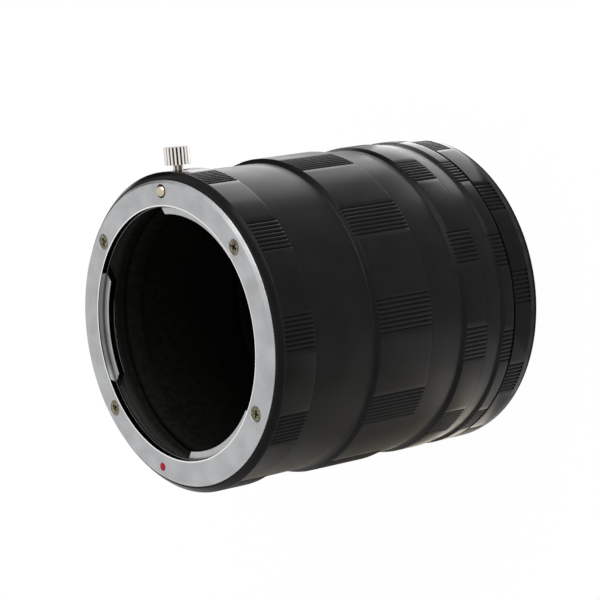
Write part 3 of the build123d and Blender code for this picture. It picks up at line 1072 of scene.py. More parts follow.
@dataclass(frozen=True)
class ScrewJoint:
    """The screwed joint of two rings, a male collar in a female end, in millimetres."""

    length: float = 2.6
    neck: float = 28.0
    neck_length: float = 0.6
    neck_soft: float = 0.1
    root_start: float = 0.75
    male_root: float = 28.05
    male_crest: float = 28.48
    tip: float = 27.85
    tip_length: float = 0.2
    depth: float = 2.75
    female_root: float = 29.05
    female_crest: float = 28.62
    mouth: float = 29.4
    mouth_length: float = 0.35
    male_margins: tuple[float, float] = (0.95, 0.4)
    female_margins: tuple[float, float] = (0.5, 0.35)

    def male_collar(self, front: float) -> list[Corner]:
        """Corners of the male collar above a ring's front face, from outside in.

        Args:
            front: height of the front face.

        Returns:
            The corners.
        """
        top = front + self.length
        return [Corner(self.neck, front), Corner(self.neck, front + self.neck_length, self.neck_soft),
                Corner(self.male_root, front + self.root_start), Corner(self.male_root, top - self.tip_length, EDGE),
                Corner(self.tip, top, EDGE), Corner(LIGHT_PATH, top, EDGE)]

    def male_thread(self, front: float) -> Thread:
        """Thread of the male collar above a ring's front face."""
        low, high = self.male_margins
        return Thread(self.male_root, self.male_crest, front + low, front + self.length - high)

    def female_end(self, rear: float) -> list[Corner]:
        """Corners of the female end at a ring's rear face, from inside out."""
        return [Corner(self.female_root, rear + self.depth), Corner(self.female_root, rear + self.mouth_length),
                Corner(self.mouth, rear, EDGE)]

    def female_thread(self, rear: float) -> Thread:
        """Thread of the female end at a ring's rear face."""
        low, high = self.female_margins
        return Thread(self.female_root, self.female_crest, rear + low, rear + self.depth - high)


JOINT = ScrewJoint()


@dataclass(frozen=True)
class RearEdge:
    """A ring's rear outer edge with the step that draws its seam, in millimetres."""

    gap: float
    fall: float = 0.01
    step_depth: float = 0.7
    shoulder: float = 0.14
    fall_length: float = 0.10
    fade: float = 0.50

    def corners(self, band: float, rear: float) -> list[Corner]:
        """Corners of the edge, from inside out.

        Args:
            band: radius of the ring's band.
            rear: height of its rear face.

        Returns:
            The corners.
        """
        step = rear + self.gap
        return [Corner(band - self.step_depth, rear), Corner(band - self.step_depth, step),
                Corner(band - self.shoulder, step, EDGE), Corner(band - self.fall, step + self.fall_length, EDGE),
                Corner(band, step + self.fade)]


@dataclass
class BlackRing:
    """A black ring with its two finishes, its threads and its place in the stack."""

    node: str
    body: str
    ring: TurnedRing
    finish: BlackAnodised
    bore: MatteBore
    threads: Sequence[Thread]
    cutters: Sequence[Cutter] = ()

    def build(self) -> None:
        """Model, cut and dress the ring, matte where it looks inwards, and matte as painted shade where it looks
        down.
        """
        piece = self.ring.make()
        for cutter in self.cutters:
            carve(piece, cutter())
        join(piece, [thread.make(f"{self.node}_ridge_{number}") for number, thread in enumerate(self.threads)])
        dress(piece, [self.finish.make(), self.bore.make()], 32, self.body, self.node)
        for face in piece.data.polygons:
            radius = distance_from_axis(face.center)
            outwards = face.normal.x * face.center.x + face.normal.y * face.center.y
            looks_in = radius < PLAIN_BORE + 0.1 and outwards < 0.3 * radius * MM
            # faces that look down, such as the camera ring's rear slope, get the matte finish as painted shade
            face.material_index = int(looks_in or face.normal.z < -0.22)


def round_bar(radius: float, bottom: float, top: float, angle_deg: float, circle: float,
              sides: int = 48) -> bpy.types.Object:
    """Upright bar used as a cutter.

    Args:
        radius: radius of the bar.
        bottom: height of its lower end.
        top: height of its upper end.
        angle_deg: angle of its place about the axis.
        circle: distance of its place from the axis.
        sides: sides of the bar.

    Returns:
        The bar.
    """
    bpy.ops.object.select_all(action="DESELECT")
    bpy.ops.mesh.primitive_cylinder_add(vertices=sides, radius=radius * MM, depth=(top - bottom) * MM,
                                        location=polar(circle, angle_deg, (bottom + top) / 2))
    bar = bpy.context.object
    settle(bar)
    return bar


def seated(circle: float, angle_deg: float, face: float, facing: int) -> Matrix:
    """Placing of a small piece in a plate.

    Args:
        circle: distance of its place from the axis.
        angle_deg: angle of its place about the axis.
        face: height of the plate's face.
        facing: 1 where the face looks to the lens and -1 where it looks to the camera.

    Returns:
        The placing.
    """
    flip = Matrix.Rotation(0 if facing > 0 else math.pi, 4, "X")
    return Matrix.Translation(polar(circle, angle_deg, face)) @ flip


def laid_at_lock(distance: float, height: float) -> Matrix:
    """Placing that lays a piece on its side at the lock, with its top looking away from the axis."""
    return Matrix.Translation((0, -distance * MM, height * MM)) @ Matrix.Rotation(math.radians(90), 4, "X")


@dataclass(frozen=True)
class Lock:
    """Pin, knob, slot and bore of the lens lock, in millimetres."""

    face: float
    seam: float
    band: float
    pin: float = 1.45
    pin_bevel: float = 0.1
    pin_reach: float = 0.9
    tail: float = 1.2
    tip: float = 1.22
    tip_steps: int = 12
    room: float = 0.1
    pocket: float = 1.15
    pocket_depth: float = 1.9
    travel: float = 1.5
    knob_rise: float = 5.6
    stem: float = 1.1
    stem_shown: float = 1.2
    stem_tip: float = 0.75
    stem_tip_depth: float = 1.8
    knob: float = 2.8
    knob_length: float = 3.7
    knob_inset: float = 0.16
    knob_chamfer: float = 0.2
    flutes: int = 20
    points_per_flute: int = 8
    flute_depth: float = 0.42

    @property
    def knob_centre(self) -> float:
        """Height of the knob's centre."""
        return self.seam + self.knob_rise

    @property
    def bore_floor(self) -> float:
        """Height of the floor of the pin's bore."""
        return self.knob_centre - self.tail - self.travel - self.room

    def slot_cutter(self) -> bpy.types.Object:
        """Long hole with round ends for the stem.

        Returns:
            The cutter.
        """
        bpy.ops.object.select_all(action="DESELECT")
        bpy.ops.mesh.primitive_cylinder_add(vertices=40, radius=(self.stem + self.room) * MM, depth=8 * MM)
        cutter = bpy.context.object
        edit(cutter)
        for side in (1, -1):
            pick(cutter, lambda point: point.y * side > HAIR)
            bpy.ops.transform.translate(value=(0, side * self.travel / 2 * MM, 0))
        leave_edit()
        move_mesh(cutter, laid_at_lock(PIN_CIRCLE + 4, self.knob_centre - self.travel / 2))
        return cutter

    def bore_cutter(self) -> bpy.types.Object:
        """Bore that the pin slides in."""
        return round_bar(self.pin + 0.05, self.bore_floor, self.face, LOCK_ANGLE, PIN_CIRCLE)

    def pocket_cutter(self) -> bpy.types.Object:
        """Pocket of the spring under the pin's bore."""
        return round_bar(self.pocket, self.bore_floor - self.pocket_depth, self.bore_floor + 0.5, LOCK_ANGLE,
                         PIN_CIRCLE)

    def build_pin(self, finish: TurnedSteel) -> None:
        """Turn the pin with its domed tip.

        Args:
            finish: finish of the pin.
        """
        tail = self.knob_centre - self.tail
        tip = self.face + self.pin_reach
        dome = (self.tip ** 2 + self.pin_reach ** 2) / (2 * self.pin_reach)
        turns = [math.asin(self.tip / dome) * step / self.tip_steps for step in range(self.tip_steps, 0, -1)]
        points = [(0.0, tail), (self.pin - self.pin_bevel, tail), (self.pin, tail + self.pin_bevel),
                  (self.pin, self.face - 0.6), (self.tip, self.face - 0.35),
                  *((dome * math.sin(turn), tip - dome * (1 - math.cos(turn))) for turn in turns), (0.0, tip)]
        piece = turned("lock_pin_turned", points, 64)
        move_mesh(piece, Matrix.Translation(polar(PIN_CIRCLE, LOCK_ANGLE, 0)))
        dress(piece, [finish.make()], 25, "lock", "lock_pin")

    def build_knob(self, finish: FlutedSteel) -> None:
        """Shape the fluted knob and its stem, and lay it on its side in the slot.

        Args:
            finish: finish of the knob and its stem.
        """
        bpy.ops.object.select_all(action="DESELECT")
        bpy.ops.mesh.primitive_cylinder_add(vertices=self.flutes * self.points_per_flute, radius=self.knob * MM,
                                            depth=self.knob_length * MM)
        piece = bpy.context.object
        piece.name = piece.data.name = "lock_knob_fluted"
        edit(piece)
        self.flute(piece)
        for side in (1, -1):
            self.chamfer(piece, side)
        tidy_surface(piece)
        leave_edit()
        join(piece, [self.make_stem()])
        move_mesh(piece, laid_at_lock(self.band + self.stem_shown + self.knob_length / 2, self.knob_centre))
        dress(piece, [finish.make()], 30, "lock", "lock_knob")

    def flute(self, piece: bpy.types.Object) -> None:
        """Press round-bottomed flutes into the knob's side.

        Args:
            piece: the knob in edit mode.
        """
        count = self.flutes * self.points_per_flute
        for phase, share in {0: 1.0, 1: 0.80, 7: 0.80, 2: 0.25, 6: 0.25}.items():
            def in_flute(point: Vector, phase: int = phase) -> bool:
                """Whether a point lies on the flutes' column of this phase."""
                turn = math.atan2(point.x, point.y) / math.tau * count
                return abs(math.remainder(turn - phase, self.points_per_flute)) < 0.1

            pick(piece, in_flute)
            scale = 1 - share * self.flute_depth / self.knob
            bpy.ops.transform.resize(value=(scale, scale, 1.0), center_override=(0, 0, 0))

    def chamfer(self, piece: bpy.types.Object, side: int) -> None:
        """Inset one end of the knob and pull its outer rim back.

        Args:
            piece: the knob in edit mode.
            side: 1 for its outer end and -1 for its inner one.
        """
        bpy.context.tool_settings.mesh_select_mode = (False, False, True)
        bpy.ops.mesh.select_all(action="DESELECT")
        mesh = bmesh.from_edit_mesh(piece.data)
        for face in mesh.faces:
            face.select = face.normal.z * side > 0.9
        bmesh.update_edit_mesh(piece.data)
        bpy.ops.mesh.inset(thickness=self.knob_inset * MM)
        bpy.context.tool_settings.mesh_select_mode = (True, False, False)
        end = side * self.knob_length / 2 * MM
        mesh = bmesh.from_edit_mesh(piece.data)
        inner = {point.index for point in mesh.verts if point.select}
        for point in mesh.verts:
            point.select = abs(point.co.z - end) < 1e-7 and point.index not in inner
        for face in mesh.faces:
            face.select = False
        mesh.select_flush_mode()
        bmesh.update_edit_mesh(piece.data)
        bpy.ops.transform.translate(value=(0, 0, -side * self.knob_chamfer * MM))

    def make_stem(self) -> bpy.types.Object:
        """Turn the stem with its shoulder and the thin tip that goes through the pin.

        Returns:
            The stem.
        """
        root = -self.knob_length / 2
        seat = root - (self.band + self.stem_shown - PIN_CIRCLE - self.pin)
        end = seat - self.stem_tip_depth
        points = [(0.0, end), (self.stem_tip - 0.05, end), (self.stem_tip, end + 0.05), (self.stem_tip, seat),
                  (self.stem - 0.05, seat), (self.stem, seat + 0.05), (self.stem, root - self.stem_shown + 0.02),
                  (self.stem, root + 0.3), (0.0, root + 0.3)]
        return turned("lock_stem", points, 48)


@dataclass(frozen=True)
class LockSpring:
    """Coil spring that pushes the pin out, in millimetres."""

    bottom: float
    top: float
    travel: float
    coil: float = 0.95
    wire: float = 0.13
    turns: int = 5
    wire_sides: int = 12
    steps_per_turn: int = 32

    def build(self, finish: SpringSteel) -> None:
        """Wind the spring.

        Args:
            finish: finish of the wire.
        """
        around = [math.tau * side / self.wire_sides for side in range(self.wire_sides)]
        section = [(self.coil + self.wire * math.cos(turn), self.bottom + self.wire * (1 + math.sin(turn)))
                   for turn in around]
        rise = self.top - self.bottom - 2 * self.wire
        piece = wind("lock_spring_wound", section, rise, self.turns, self.turns * self.steps_per_turn)
        edit(piece)
        bpy.ops.mesh.select_all(action="SELECT")
        bpy.ops.mesh.fill_holes(sides=0)
        tidy_surface(piece)
        leave_edit()
        move_mesh(piece, Matrix.Translation(polar(PIN_CIRCLE, LOCK_ANGLE, 0)))
        dress(piece, [finish.make()], 40, "lens_mount", "lock_spring")
        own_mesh(piece)

@dataclass(frozen=True)
class Screws:
    """Four cross-recess countersunk screws of one plate, in millimetres."""

    side: str
    body: str
    circle: float
    face: float
    facing: int
    finish: ScrewBronze
    turns: tuple[float, ...] = (-50.5, 49.5, 125.5, -121.5)
    head: float = 1.64
    head_soft: float = 0.1
    sink: float = 0.14
    shank: float = 0.9
    length: float = 5.0
    recess: tuple[float, float, float] = (2.3, 0.58, 1.3)
    recess_taper: tuple[float, float, float] = (0.45, 0.7, 1.0)
    recess_turn: float = 20.0
    turn_between: float = 37.0
    steps: int = 48

    @property
    def cone(self) -> float:
        """Height of the head's cone."""
        return self.head - self.shank

    def model(self) -> bpy.types.Object:
        """Model one screw at the origin, head up.

        Returns:
            The screw.
        """
        corners = [Corner(0.0, 0.0), Corner(self.head, 0.0, self.head_soft), Corner(self.shank, -self.cone),
                   Corner(self.shank, -self.length), Corner(0.0, -self.length)]
        piece = turned(f"{self.side}_screw_model", outline(corners, closed=False), self.steps)
        for turn in (0, 90):
            carve(piece, self.recess_blade(turn + self.recess_turn))
        return piece

    def recess_blade(self, turn_deg: float) -> bpy.types.Object:
        """One blade of the cross that is pressed into the head, narrower below.

        Args:
            turn_deg: turn of the blade about the screw.

        Returns:
            The blade.
        """
        bpy.ops.object.select_all(action="DESELECT")
        bpy.ops.mesh.primitive_cube_add(size=MM)
        blade = bpy.context.object
        edit(blade)
        pick(blade, lambda point: point.z < 0)
        bpy.ops.transform.resize(value=self.recess_taper, center_override=(0, 0, -0.5 * MM))
        leave_edit()
        move_mesh(blade, Matrix.Rotation(math.radians(turn_deg), 4, "Z") @ Matrix.Diagonal((*self.recess, 1.0)))
        return blade

    def holes(self) -> list[Cutter]:
        """Cutters of the four countersunk holes."""
        return [partial(self.hole, turn) for turn in self.turns]

    def hole(self, turn: float) -> bpy.types.Object:
        """Countersunk hole with a hair of room round the screw.

        Args:
            turn: angle of the hole from the lock.

        Returns:
            The cutter.
        """
        mouth, shaft, end = self.head + 0.20, self.shank + 0.05, -self.length - 0.2
        points = [(0.0, 0.6), (mouth, 0.6), (mouth, 0.03), (self.head + 0.13, -0.05),
                  (shaft, -self.cone - 0.05), (shaft, end), (0.0, end)]
        piece = turned("screw_hole", points, self.steps)
        move_mesh(piece, self.placing(turn))
        return piece

    def placing(self, turn: float) -> Matrix:
        """Where the screw of one turn from the lock sits, with its head towards the facing side."""
        return seated(self.circle, LOCK_ANGLE + turn, self.face, self.facing)

    def build(self) -> None:
        """Copy the screw to its four places and dress it."""
        model = self.model()
        bronze = self.finish.make()
        for number, turn in enumerate(self.turns, 1):
            piece = copy_of(model, f"{self.side}_screw_crosshead_{number}")
            spin = Matrix.Rotation(math.radians(self.turn_between * number), 4, "Z")
            move_mesh(piece, self.placing(turn) @ Matrix.Translation((0, 0, -self.sink * MM)) @ spin)
            dress(piece, [bronze], 30, self.body, f"{self.side}_mount_screw_{number}")
        bpy.data.objects.remove(model)


@dataclass(frozen=True)
class Dot:
    """Round red inlay of one flange, in millimetres."""

    side: str
    body: str
    circle: float
    face: float
    facing: int
    turn: float
    finish: RedEnamel
    radius: float = 0.9
    depth: float = 0.5
    steps: int = 40

    def seat(self) -> bpy.types.Object:
        """Cutter of the dot's seat."""
        low, high = sorted((self.face - self.facing * self.depth, self.face + self.facing * 0.4))
        return round_bar(self.radius + 0.02, low, high, LOCK_ANGLE + self.turn, self.circle)

    def build(self) -> None:
        """Model the dot as a shallow bead."""
        points = [(0.0, -self.depth), (self.radius, -self.depth), (self.radius, -0.03),
                  (self.radius * 0.92, 0.01), (self.radius * 0.6, 0.035), (0.0, 0.045)]
        piece = turned(f"{self.side}_dot_bead", points, self.steps)
        move_mesh(piece, seated(self.circle, LOCK_ANGLE + self.turn, self.face, self.facing))
        dress(piece, [self.finish.make()], 40, self.body, f"{self.side}_index_dot")

@dataclass
class BayonetPlate:
    """A bright bayonet plate with its tabs and holes."""

    node: str
    body: str
    corners: Sequence[Corner]
    tabs: Sequence[BayonetTab]
    cutters: Sequence[Cutter]
    finish: SatinPlate
    wall: TurnedWall
    steps_per_sector: int = 36
    upright: float = 0.35

    def build(self) -> None:
        """Turn the plate, cut its holes, add its tabs and dress it."""
        piece = TurnedRing(f"{self.node}_turned", self.corners, steps_per_sector=self.steps_per_sector).make()
        for cutter in self.cutters:
            carve(piece, cutter())
        join(piece, [tab.make(f"{self.node}_tab_{number}") for number, tab in enumerate(self.tabs)])
        dress(piece, [self.finish.make(), self.wall.make()], 28, self.body, self.node)
        for face in piece.data.polygons:
            on_wall = abs(face.normal.z) < self.upright and distance_from_axis(face.center) < JOINT.male_root
            face.material_index = int(on_wall)


@dataclass(frozen=True)
class Finishes:
    """Finishes that the pieces of the set share."""

    satin: BlackAnodised = BlackAnodised("black_satin", Sheen.SATIN)
    gloss: BlackAnodised = BlackAnodised("black_gloss", Sheen.GLOSS)
    bore: MatteBore = MatteBore()
    plate: SatinPlate = SatinPlate()
    wall: TurnedWall = TurnedWall()
    screw: ScrewBronze = ScrewBronze()
    pin: TurnedSteel = TurnedSteel()
    spring: SpringSteel = SpringSteel()
    enamel: RedEnamel = RedEnamel()


@dataclass(frozen=True)
class Tube:
    """One extension tube with its grip band, rim, waist and screwed ends, in millimetres."""

    node: str
    body: str
    rear: float
    front: float
    band_length: float
    waist_depth: float
    front_drop: float
    turn_deg: float
    seam_gap: float
    rim: float = 1.0
    rim_soft: float = 0.10
    cove_share: float = 0.81
    cove_steps: int = 8
    front_bevel: float = 0.08
    front_soft: float = 0.03
    baffle: float = 1.2

    def build(self, finishes: Finishes) -> None:
        """Turn the tube, wind its threads and dress it.

        Args:
            finishes: the set's finishes.
        """
        band = reach_of(self.node)
        band_top = self.rear + self.band_length
        rim_top = band_top + self.rim
        cut_top = band_top + self.rim * Grip.depth / self.waist_depth
        cove = self.cove_share * math.tan(math.atan2(self.waist_depth, self.rim) / 2)
        front_radius = band - self.front_drop
        baffle = self.front - self.baffle
        corners = [
            *RearEdge(self.seam_gap).corners(band, self.rear),
            Corner(band, band_top, self.rim_soft), Corner(band - Grip.depth, cut_top),
            Corner(band - self.waist_depth, rim_top, cove, self.cove_steps),
            Corner(front_radius, self.front - self.front_bevel, self.front_soft),
            Corner(front_radius - self.front_bevel, self.front, self.front_soft),
            *JOINT.male_collar(self.front),
            Corner(LIGHT_PATH, baffle, EDGE), Corner(PLAIN_BORE, baffle, EDGE),
            Corner(PLAIN_BORE, self.rear + JOINT.depth + 0.3), *JOINT.female_end(self.rear)]
        ring = TurnedRing(f"{self.node}_turned", corners,
                          Grip(band, self.rear - GRIP_MARGIN, cut_top, self.turn_deg))
        # lighter line along the top of the rim: painted highlight, partly rubbed wear
        finish = replace(finishes.satin, edges=(rim_top,))
        BlackRing(self.node, self.body, ring, finish, finishes.bore,
                  [JOINT.male_thread(self.front), JOINT.female_thread(self.rear)]).build()


@dataclass(frozen=True)
class LensMount:
    """Lens ring with its plate, screws, dot and lock, in millimetres."""

    rear: float
    face: float
    body: str = "lens_mount"
    seam_gap: float = 0.26
    seam_fall: float = 0.05
    grip_turn: float = 1.5
    grip_end: float = 0.2
    cone_length: float = 1.25
    lip: float = 0.35
    plate_shown: float = 0.95
    plate_thickness: float = 1.7
    plate_bevel: float = 0.7
    throat_back: float = 26.85
    bore: float = 28.1
    spring_groove: float = 28.4
    spring_groove_width: float = 1.05
    tab_inner: float = 25.2
    tab_root: float = 28.0
    tab_thickness: float = 1.3
    tab_widths: tuple[float, ...] = (54.6, 60.0, 60.0)
    screw_circle: float = 29.5
    dot_circle: float = 30.0
    dot_turn: float = 164.0
    pin_hole: float = 1.5

    @property
    def back(self) -> float:
        """Height of the plate's back."""
        return self.face - self.plate_thickness

    @property
    def tab_back(self) -> float:
        """Height of the tabs' back."""
        return self.back - self.tab_thickness

    def build(self, finishes: Finishes) -> None:
        """Build the ring, the plate and what they carry.

        Args:
            finishes: the set's finishes.
        """
        lock = Lock(self.face, self.rear, reach_of("lens_mount_housing"))
        screws = Screws("lens", self.body, self.screw_circle, self.face, 1, finishes.screw)
        dot = Dot("lens", self.body, self.dot_circle, self.face, 1, self.dot_turn, finishes.enamel)
        self.build_ring(finishes, lock)
        self.build_plate(finishes, [*screws.holes(), self.cut_pin_hole, dot.seat])
        screws.build()
        dot.build()
        lock.build_pin(finishes.pin)
        lock.build_knob(FlutedSteel(lock.knob_centre, lock.knob))
        low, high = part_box("lock_spring")
        LockSpring(low.z / MM, high.z / MM, lock.travel).build(finishes.spring)

    def cut_pin_hole(self) -> bpy.types.Object:
        """Cutter of the pin's hole through the plate."""
        return round_bar(self.pin_hole, self.back - 1, self.face + 1, LOCK_ANGLE, PIN_CIRCLE)

    def build_ring(self, finishes: Finishes, lock: Lock) -> None:
        """Turn the black ring, with its cone, its lip and the groove of the leaf springs.

        Args:
            finishes: the set's finishes.
            lock: the lock that the ring is cut for.
        """
        band = reach_of("lens_mount_housing")
        recess = reach_of("lens_mount_plate") + PLATE_ROOM
        lip = self.face - self.plate_shown
        cone = lip - self.cone_length
        groove_end = cone - self.grip_end
        groove_bottom = self.tab_back - self.spring_groove_width
        corners = [
            *RearEdge(self.seam_gap, self.seam_fall).corners(band, self.rear),
            Corner(band, groove_end - 0.04), Corner(band, groove_end), Corner(band, cone, 0.12),
            Corner(recess + self.lip, lip, EDGE), Corner(recess, lip, EDGE), Corner(recess, self.back),
            Corner(self.bore, self.back), Corner(self.bore, self.tab_back),
            Corner(self.spring_groove, self.tab_back), Corner(self.spring_groove, groove_bottom),
            Corner(self.bore, groove_bottom), Corner(self.bore, self.rear + JOINT.depth + 0.2),
            *JOINT.female_end(self.rear)]
        grip = Grip(band, self.rear - GRIP_MARGIN, groove_end - 0.03, self.grip_turn)
        # lighter lines at the cone and the lip: painted highlight, partly rubbed wear
        BlackRing("lens_mount_housing", self.body, TurnedRing("lens_mount_housing_turned", corners, grip),
                  replace(finishes.gloss, edges=(cone, lip)), finishes.bore, [JOINT.female_thread(self.rear)],
                  [lock.slot_cutter, lock.bore_cutter, lock.pocket_cutter]).build()

    def build_plate(self, finishes: Finishes, cutters: Sequence[Cutter]) -> None:
        """Turn the bright plate with its three inward tabs.

        Args:
            finishes: the set's finishes.
            cutters: makers of the pieces that cut it.
        """
        flange = reach_of("lens_mount_plate")
        corners = [
            Corner(flange, self.back), Corner(flange, self.face - self.plate_bevel, 0.08, 2, 0.04),
            Corner(flange - self.plate_bevel, self.face, 0.12, 3, 0.05), Corner(LIGHT_PATH, self.face, 0.10, 2, 0.04),
            Corner(LIGHT_PATH, self.back + 0.30), Corner(self.throat_back, self.back + 0.27, 0.03),
            Corner(self.throat_back, self.back)]
        tabs = [BayonetTab(LOCK_ANGLE + centre, self.tab_inner, self.tab_root, self.tab_back, self.back + 0.2,
                           width - TAB_TAPER, width)
                for centre, width in zip(TAB_CENTRES, self.tab_widths)]
        BayonetPlate("lens_mount_plate", self.body, corners, tabs, cutters, finishes.plate, finishes.wall).build()


@dataclass(frozen=True)
class CameraMount:
    """Camera ring with its plate, spigot, screws and dot, in millimetres."""

    face: float
    ring: float
    front: float
    body: str = "camera_mount"
    grip_start: float = 2.9
    grip_turn: float = 3.2
    seam_gap: float = 0.22
    seam_depth: float = 0.7
    plate_thickness: float = 1.8
    plate_bevel: float = 0.4
    throat: float = 23.6
    spigot: float = 25.0
    spigot_bevel: float = 0.2
    tab_outer: float = 26.8
    tab_root: float = 24.2
    tab_setback: float = 3.3
    tab_thickness: float = 1.4
    tab_widths: tuple[float, ...] = (44.0, 50.0, 50.0)
    circle: float = 28.6
    dot_turn: float = 104.0
    notch: float = 1.6
    notch_depth: float = 1.3
    # a painted highlight band round the camera ring above its rear slope, broken up like rubbed wear
    light_band_height: float = 2.3
    light_band_reach: float = 0.45
    rub_and_highlight: tuple[float, float, float] = (0.030, 0.0295, 0.0285)

    @property
    def seat(self) -> float:
        """Height at which the plate's back meets the ring."""
        return self.face + self.plate_thickness

    def build(self, finishes: Finishes) -> None:
        """Build the ring, the plate and what they carry.

        Args:
            finishes: the set's finishes.
        """
        screws = Screws("camera", self.body, self.circle, self.face, -1, finishes.screw)
        dot = Dot("camera", self.body, self.circle, self.face, -1, self.dot_turn, finishes.enamel)
        self.build_ring(finishes)
        self.build_plate(finishes, [*screws.holes(), self.cut_notch, dot.seat])
        screws.build()
        dot.build()

    def cut_notch(self) -> bpy.types.Object:
        """Cutter of the notch for the camera's lock pin, open outwards.

        Returns:
            The cutter.
        """
        bar = round_bar(self.notch, self.face - 0.6, self.face + self.notch_depth, LOCK_ANGLE, PIN_CIRCLE)
        edit(bar)
        pick(bar, lambda point: point.y < -PIN_CIRCLE * MM + HAIR)
        bpy.ops.transform.translate(value=(0, -3.0 * MM, 0))
        leave_edit()
        return bar

    def build_ring(self, finishes: Finishes) -> None:
        """Turn the black ring, rounded towards the camera, with its male collar.

        Args:
            finishes: the set's finishes.
        """
        band = reach_of("camera_mount_housing")
        recess = reach_of("camera_mount_plate") + PLATE_ROOM
        start = self.ring + self.grip_start
        seam = self.front - self.seam_gap
        corners = [
            Corner(LIGHT_PATH, self.seat), Corner(recess, self.seat), Corner(recess, self.ring, EDGE),
            Corner(band - 1.2, self.ring, 0.08), Corner(band - 0.30, self.ring + 0.9, 0.12, 3),
            Corner(band - 0.05, self.ring + 1.7, 0.3, 3), Corner(band, start - 0.04), Corner(band, start),
            Corner(band, seam - 0.1, EDGE), Corner(band - 0.1, seam, EDGE), Corner(band - self.seam_depth, seam),
            Corner(band - self.seam_depth, self.front), *JOINT.male_collar(self.front)]
        grip = Grip(band, start - GRIP_MARGIN, self.front + GRIP_MARGIN, self.grip_turn)
        # painted highlight band on the camera ring
        finish = replace(finishes.gloss, edges=(self.ring + self.light_band_height,), edge_reach=self.light_band_reach,
                         rub_and_highlight=self.rub_and_highlight)
        BlackRing("camera_mount_housing", self.body, TurnedRing("camera_mount_housing_turned", corners, grip),
                  finish, finishes.bore, [JOINT.male_thread(self.front)], [self.cut_notch]).build()

    def build_plate(self, finishes: Finishes, cutters: Sequence[Cutter]) -> None:
        """Turn the bright plate with its spigot and three outward tabs.

        Args:
            finishes: the set's finishes.
            cutters: makers of the pieces that cut it.
        """
        flange = reach_of("camera_mount_plate")
        corners = [
            Corner(self.throat, 0.0, 0.08), Corner(self.spigot - self.spigot_bevel, 0.0, EDGE),
            Corner(self.spigot, self.spigot_bevel, EDGE), Corner(self.spigot, self.face),
            Corner(flange - self.plate_bevel, self.face, 0.08), Corner(flange, self.face + self.plate_bevel, 0.08),
            Corner(flange, self.seat), Corner(self.throat, self.seat, EDGE)]
        tab_top = self.face - self.tab_setback
        tabs = [BayonetTab(LOCK_ANGLE + centre, self.tab_root, self.tab_outer, tab_top - self.tab_thickness,
                           tab_top, width, width - TAB_TAPER)
                for centre, width in zip(TAB_CENTRES, self.tab_widths)]
        BayonetPlate("camera_mount_plate", self.body, corners, tabs, cutters, finishes.plate, finishes.wall).build()


@dataclass(frozen=True)
class ExtensionTubeSet:
    """The whole object, ring by ring."""

    stack: Stack
    finishes: Finishes = Finishes()

    def build_tubes(self) -> None:
        """Build the three tubes."""
        s = self.stack
        tubes = [
            Tube("long_tube", "long_ring", s.long_tube, s.lens_ring, 14.8, 1.0, 0.8, 1.6, 0.10),
            Tube("middle_tube", "middle_ring", s.middle_tube, s.long_tube, 6.2, 0.8, 0.15, 21.4, 0.10),
            Tube("short_tube", "short_ring", s.short_tube, s.middle_tube, 3.0, 0.6, 0.15, 17.8, 0.22)]
        for tube in tubes:
            tube.build(self.finishes)

    def build_lens_side(self) -> None:
        """Build the lens ring and what it carries."""
        LensMount(self.stack.lens_ring, self.stack.lens_face).build(self.finishes)

    def build_camera_side(self) -> None:
        """Build the camera ring and what it carries."""
        s = self.stack
        CameraMount(s.camera_flange, s.camera_ring, s.short_tube).build(self.finishes)

    def dress_cad_springs(self, nodes: dict[str, bpy.types.Object]) -> None:
        """Give the leaf springs, which stay as CAD nodes, their steel.

        Args:
            nodes: the frame's nodes by name.
        """
        steel = self.finishes.spring.make()
        for name in ("leaf_spring_1", "leaf_spring_2", "leaf_spring_3"):
            nodes[name].data.materials.clear()
            nodes[name].data.materials.append(steel)
            LOG.info("%s dressed", name)


@dataclass(frozen=True)
class Softbox:
    """A soft lamp aimed at a point, seen by the object and not by the camera."""

    name: str
    place: tuple[float, float, float]
    size: tuple[float, float]
    power: float
    target: tuple[float, float, float] = (0.0, 0.0, 0.04)
    colour: tuple[float, float, float] = (1.0, 1.0, 1.0)

    def make(self) -> None:
        """Hang the lamp."""
        lamp = bpy.data.lights.new(self.name, "AREA")
        lamp.shape = "RECTANGLE"
        lamp.size, lamp.size_y = self.size
        lamp.energy = self.power
        lamp.color = self.colour
        holder = bpy.data.objects.new(self.name, lamp)
        holder.location = self.place
        holder.rotation_euler = (Vector(self.target) - holder.location).to_track_quat("-Z", "Y").to_euler()
        holder.visible_camera = False
        bpy.context.scene.collection.objects.link(holder)


@dataclass(frozen=True)
class ReflectionSheet:
    """A sheet that only the reflections see, glowing in its own tone: a painted reflection."""

    name: str
    place: tuple[float, float, float]
    size: tuple[float, float]
    target: tuple[float, float, float]
    tone: tuple[float, float, float]

    def make(self) -> None:
        """Set the sheet up, facing its target."""
        bpy.ops.object.select_all(action="DESELECT")
        bpy.ops.mesh.primitive_plane_add(size=1.0)
        reflection_sheet = bpy.context.object
        reflection_sheet.name = self.name
        reflection_sheet.scale = (*self.size, 1.0)
        reflection_sheet.location = self.place
        reflection_sheet.rotation_euler = (Vector(self.target) - Vector(self.place)).to_track_quat("Z", "Y").to_euler()
        material = bpy.data.materials.new(self.name)
        material.use_nodes = True
        tree = material.node_tree
        glow = tree.nodes.new("ShaderNodeEmission")
        glow.inputs["Color"].default_value = (*self.tone, 1.0)
        tree.links.new(glow.outputs[0], tree.nodes["Material Output"].inputs["Surface"])
        reflection_sheet.data.materials.append(material)
        reflection_sheet.visible_camera = False
        reflection_sheet.visible_diffuse = False
        reflection_sheet.visible_shadow = False


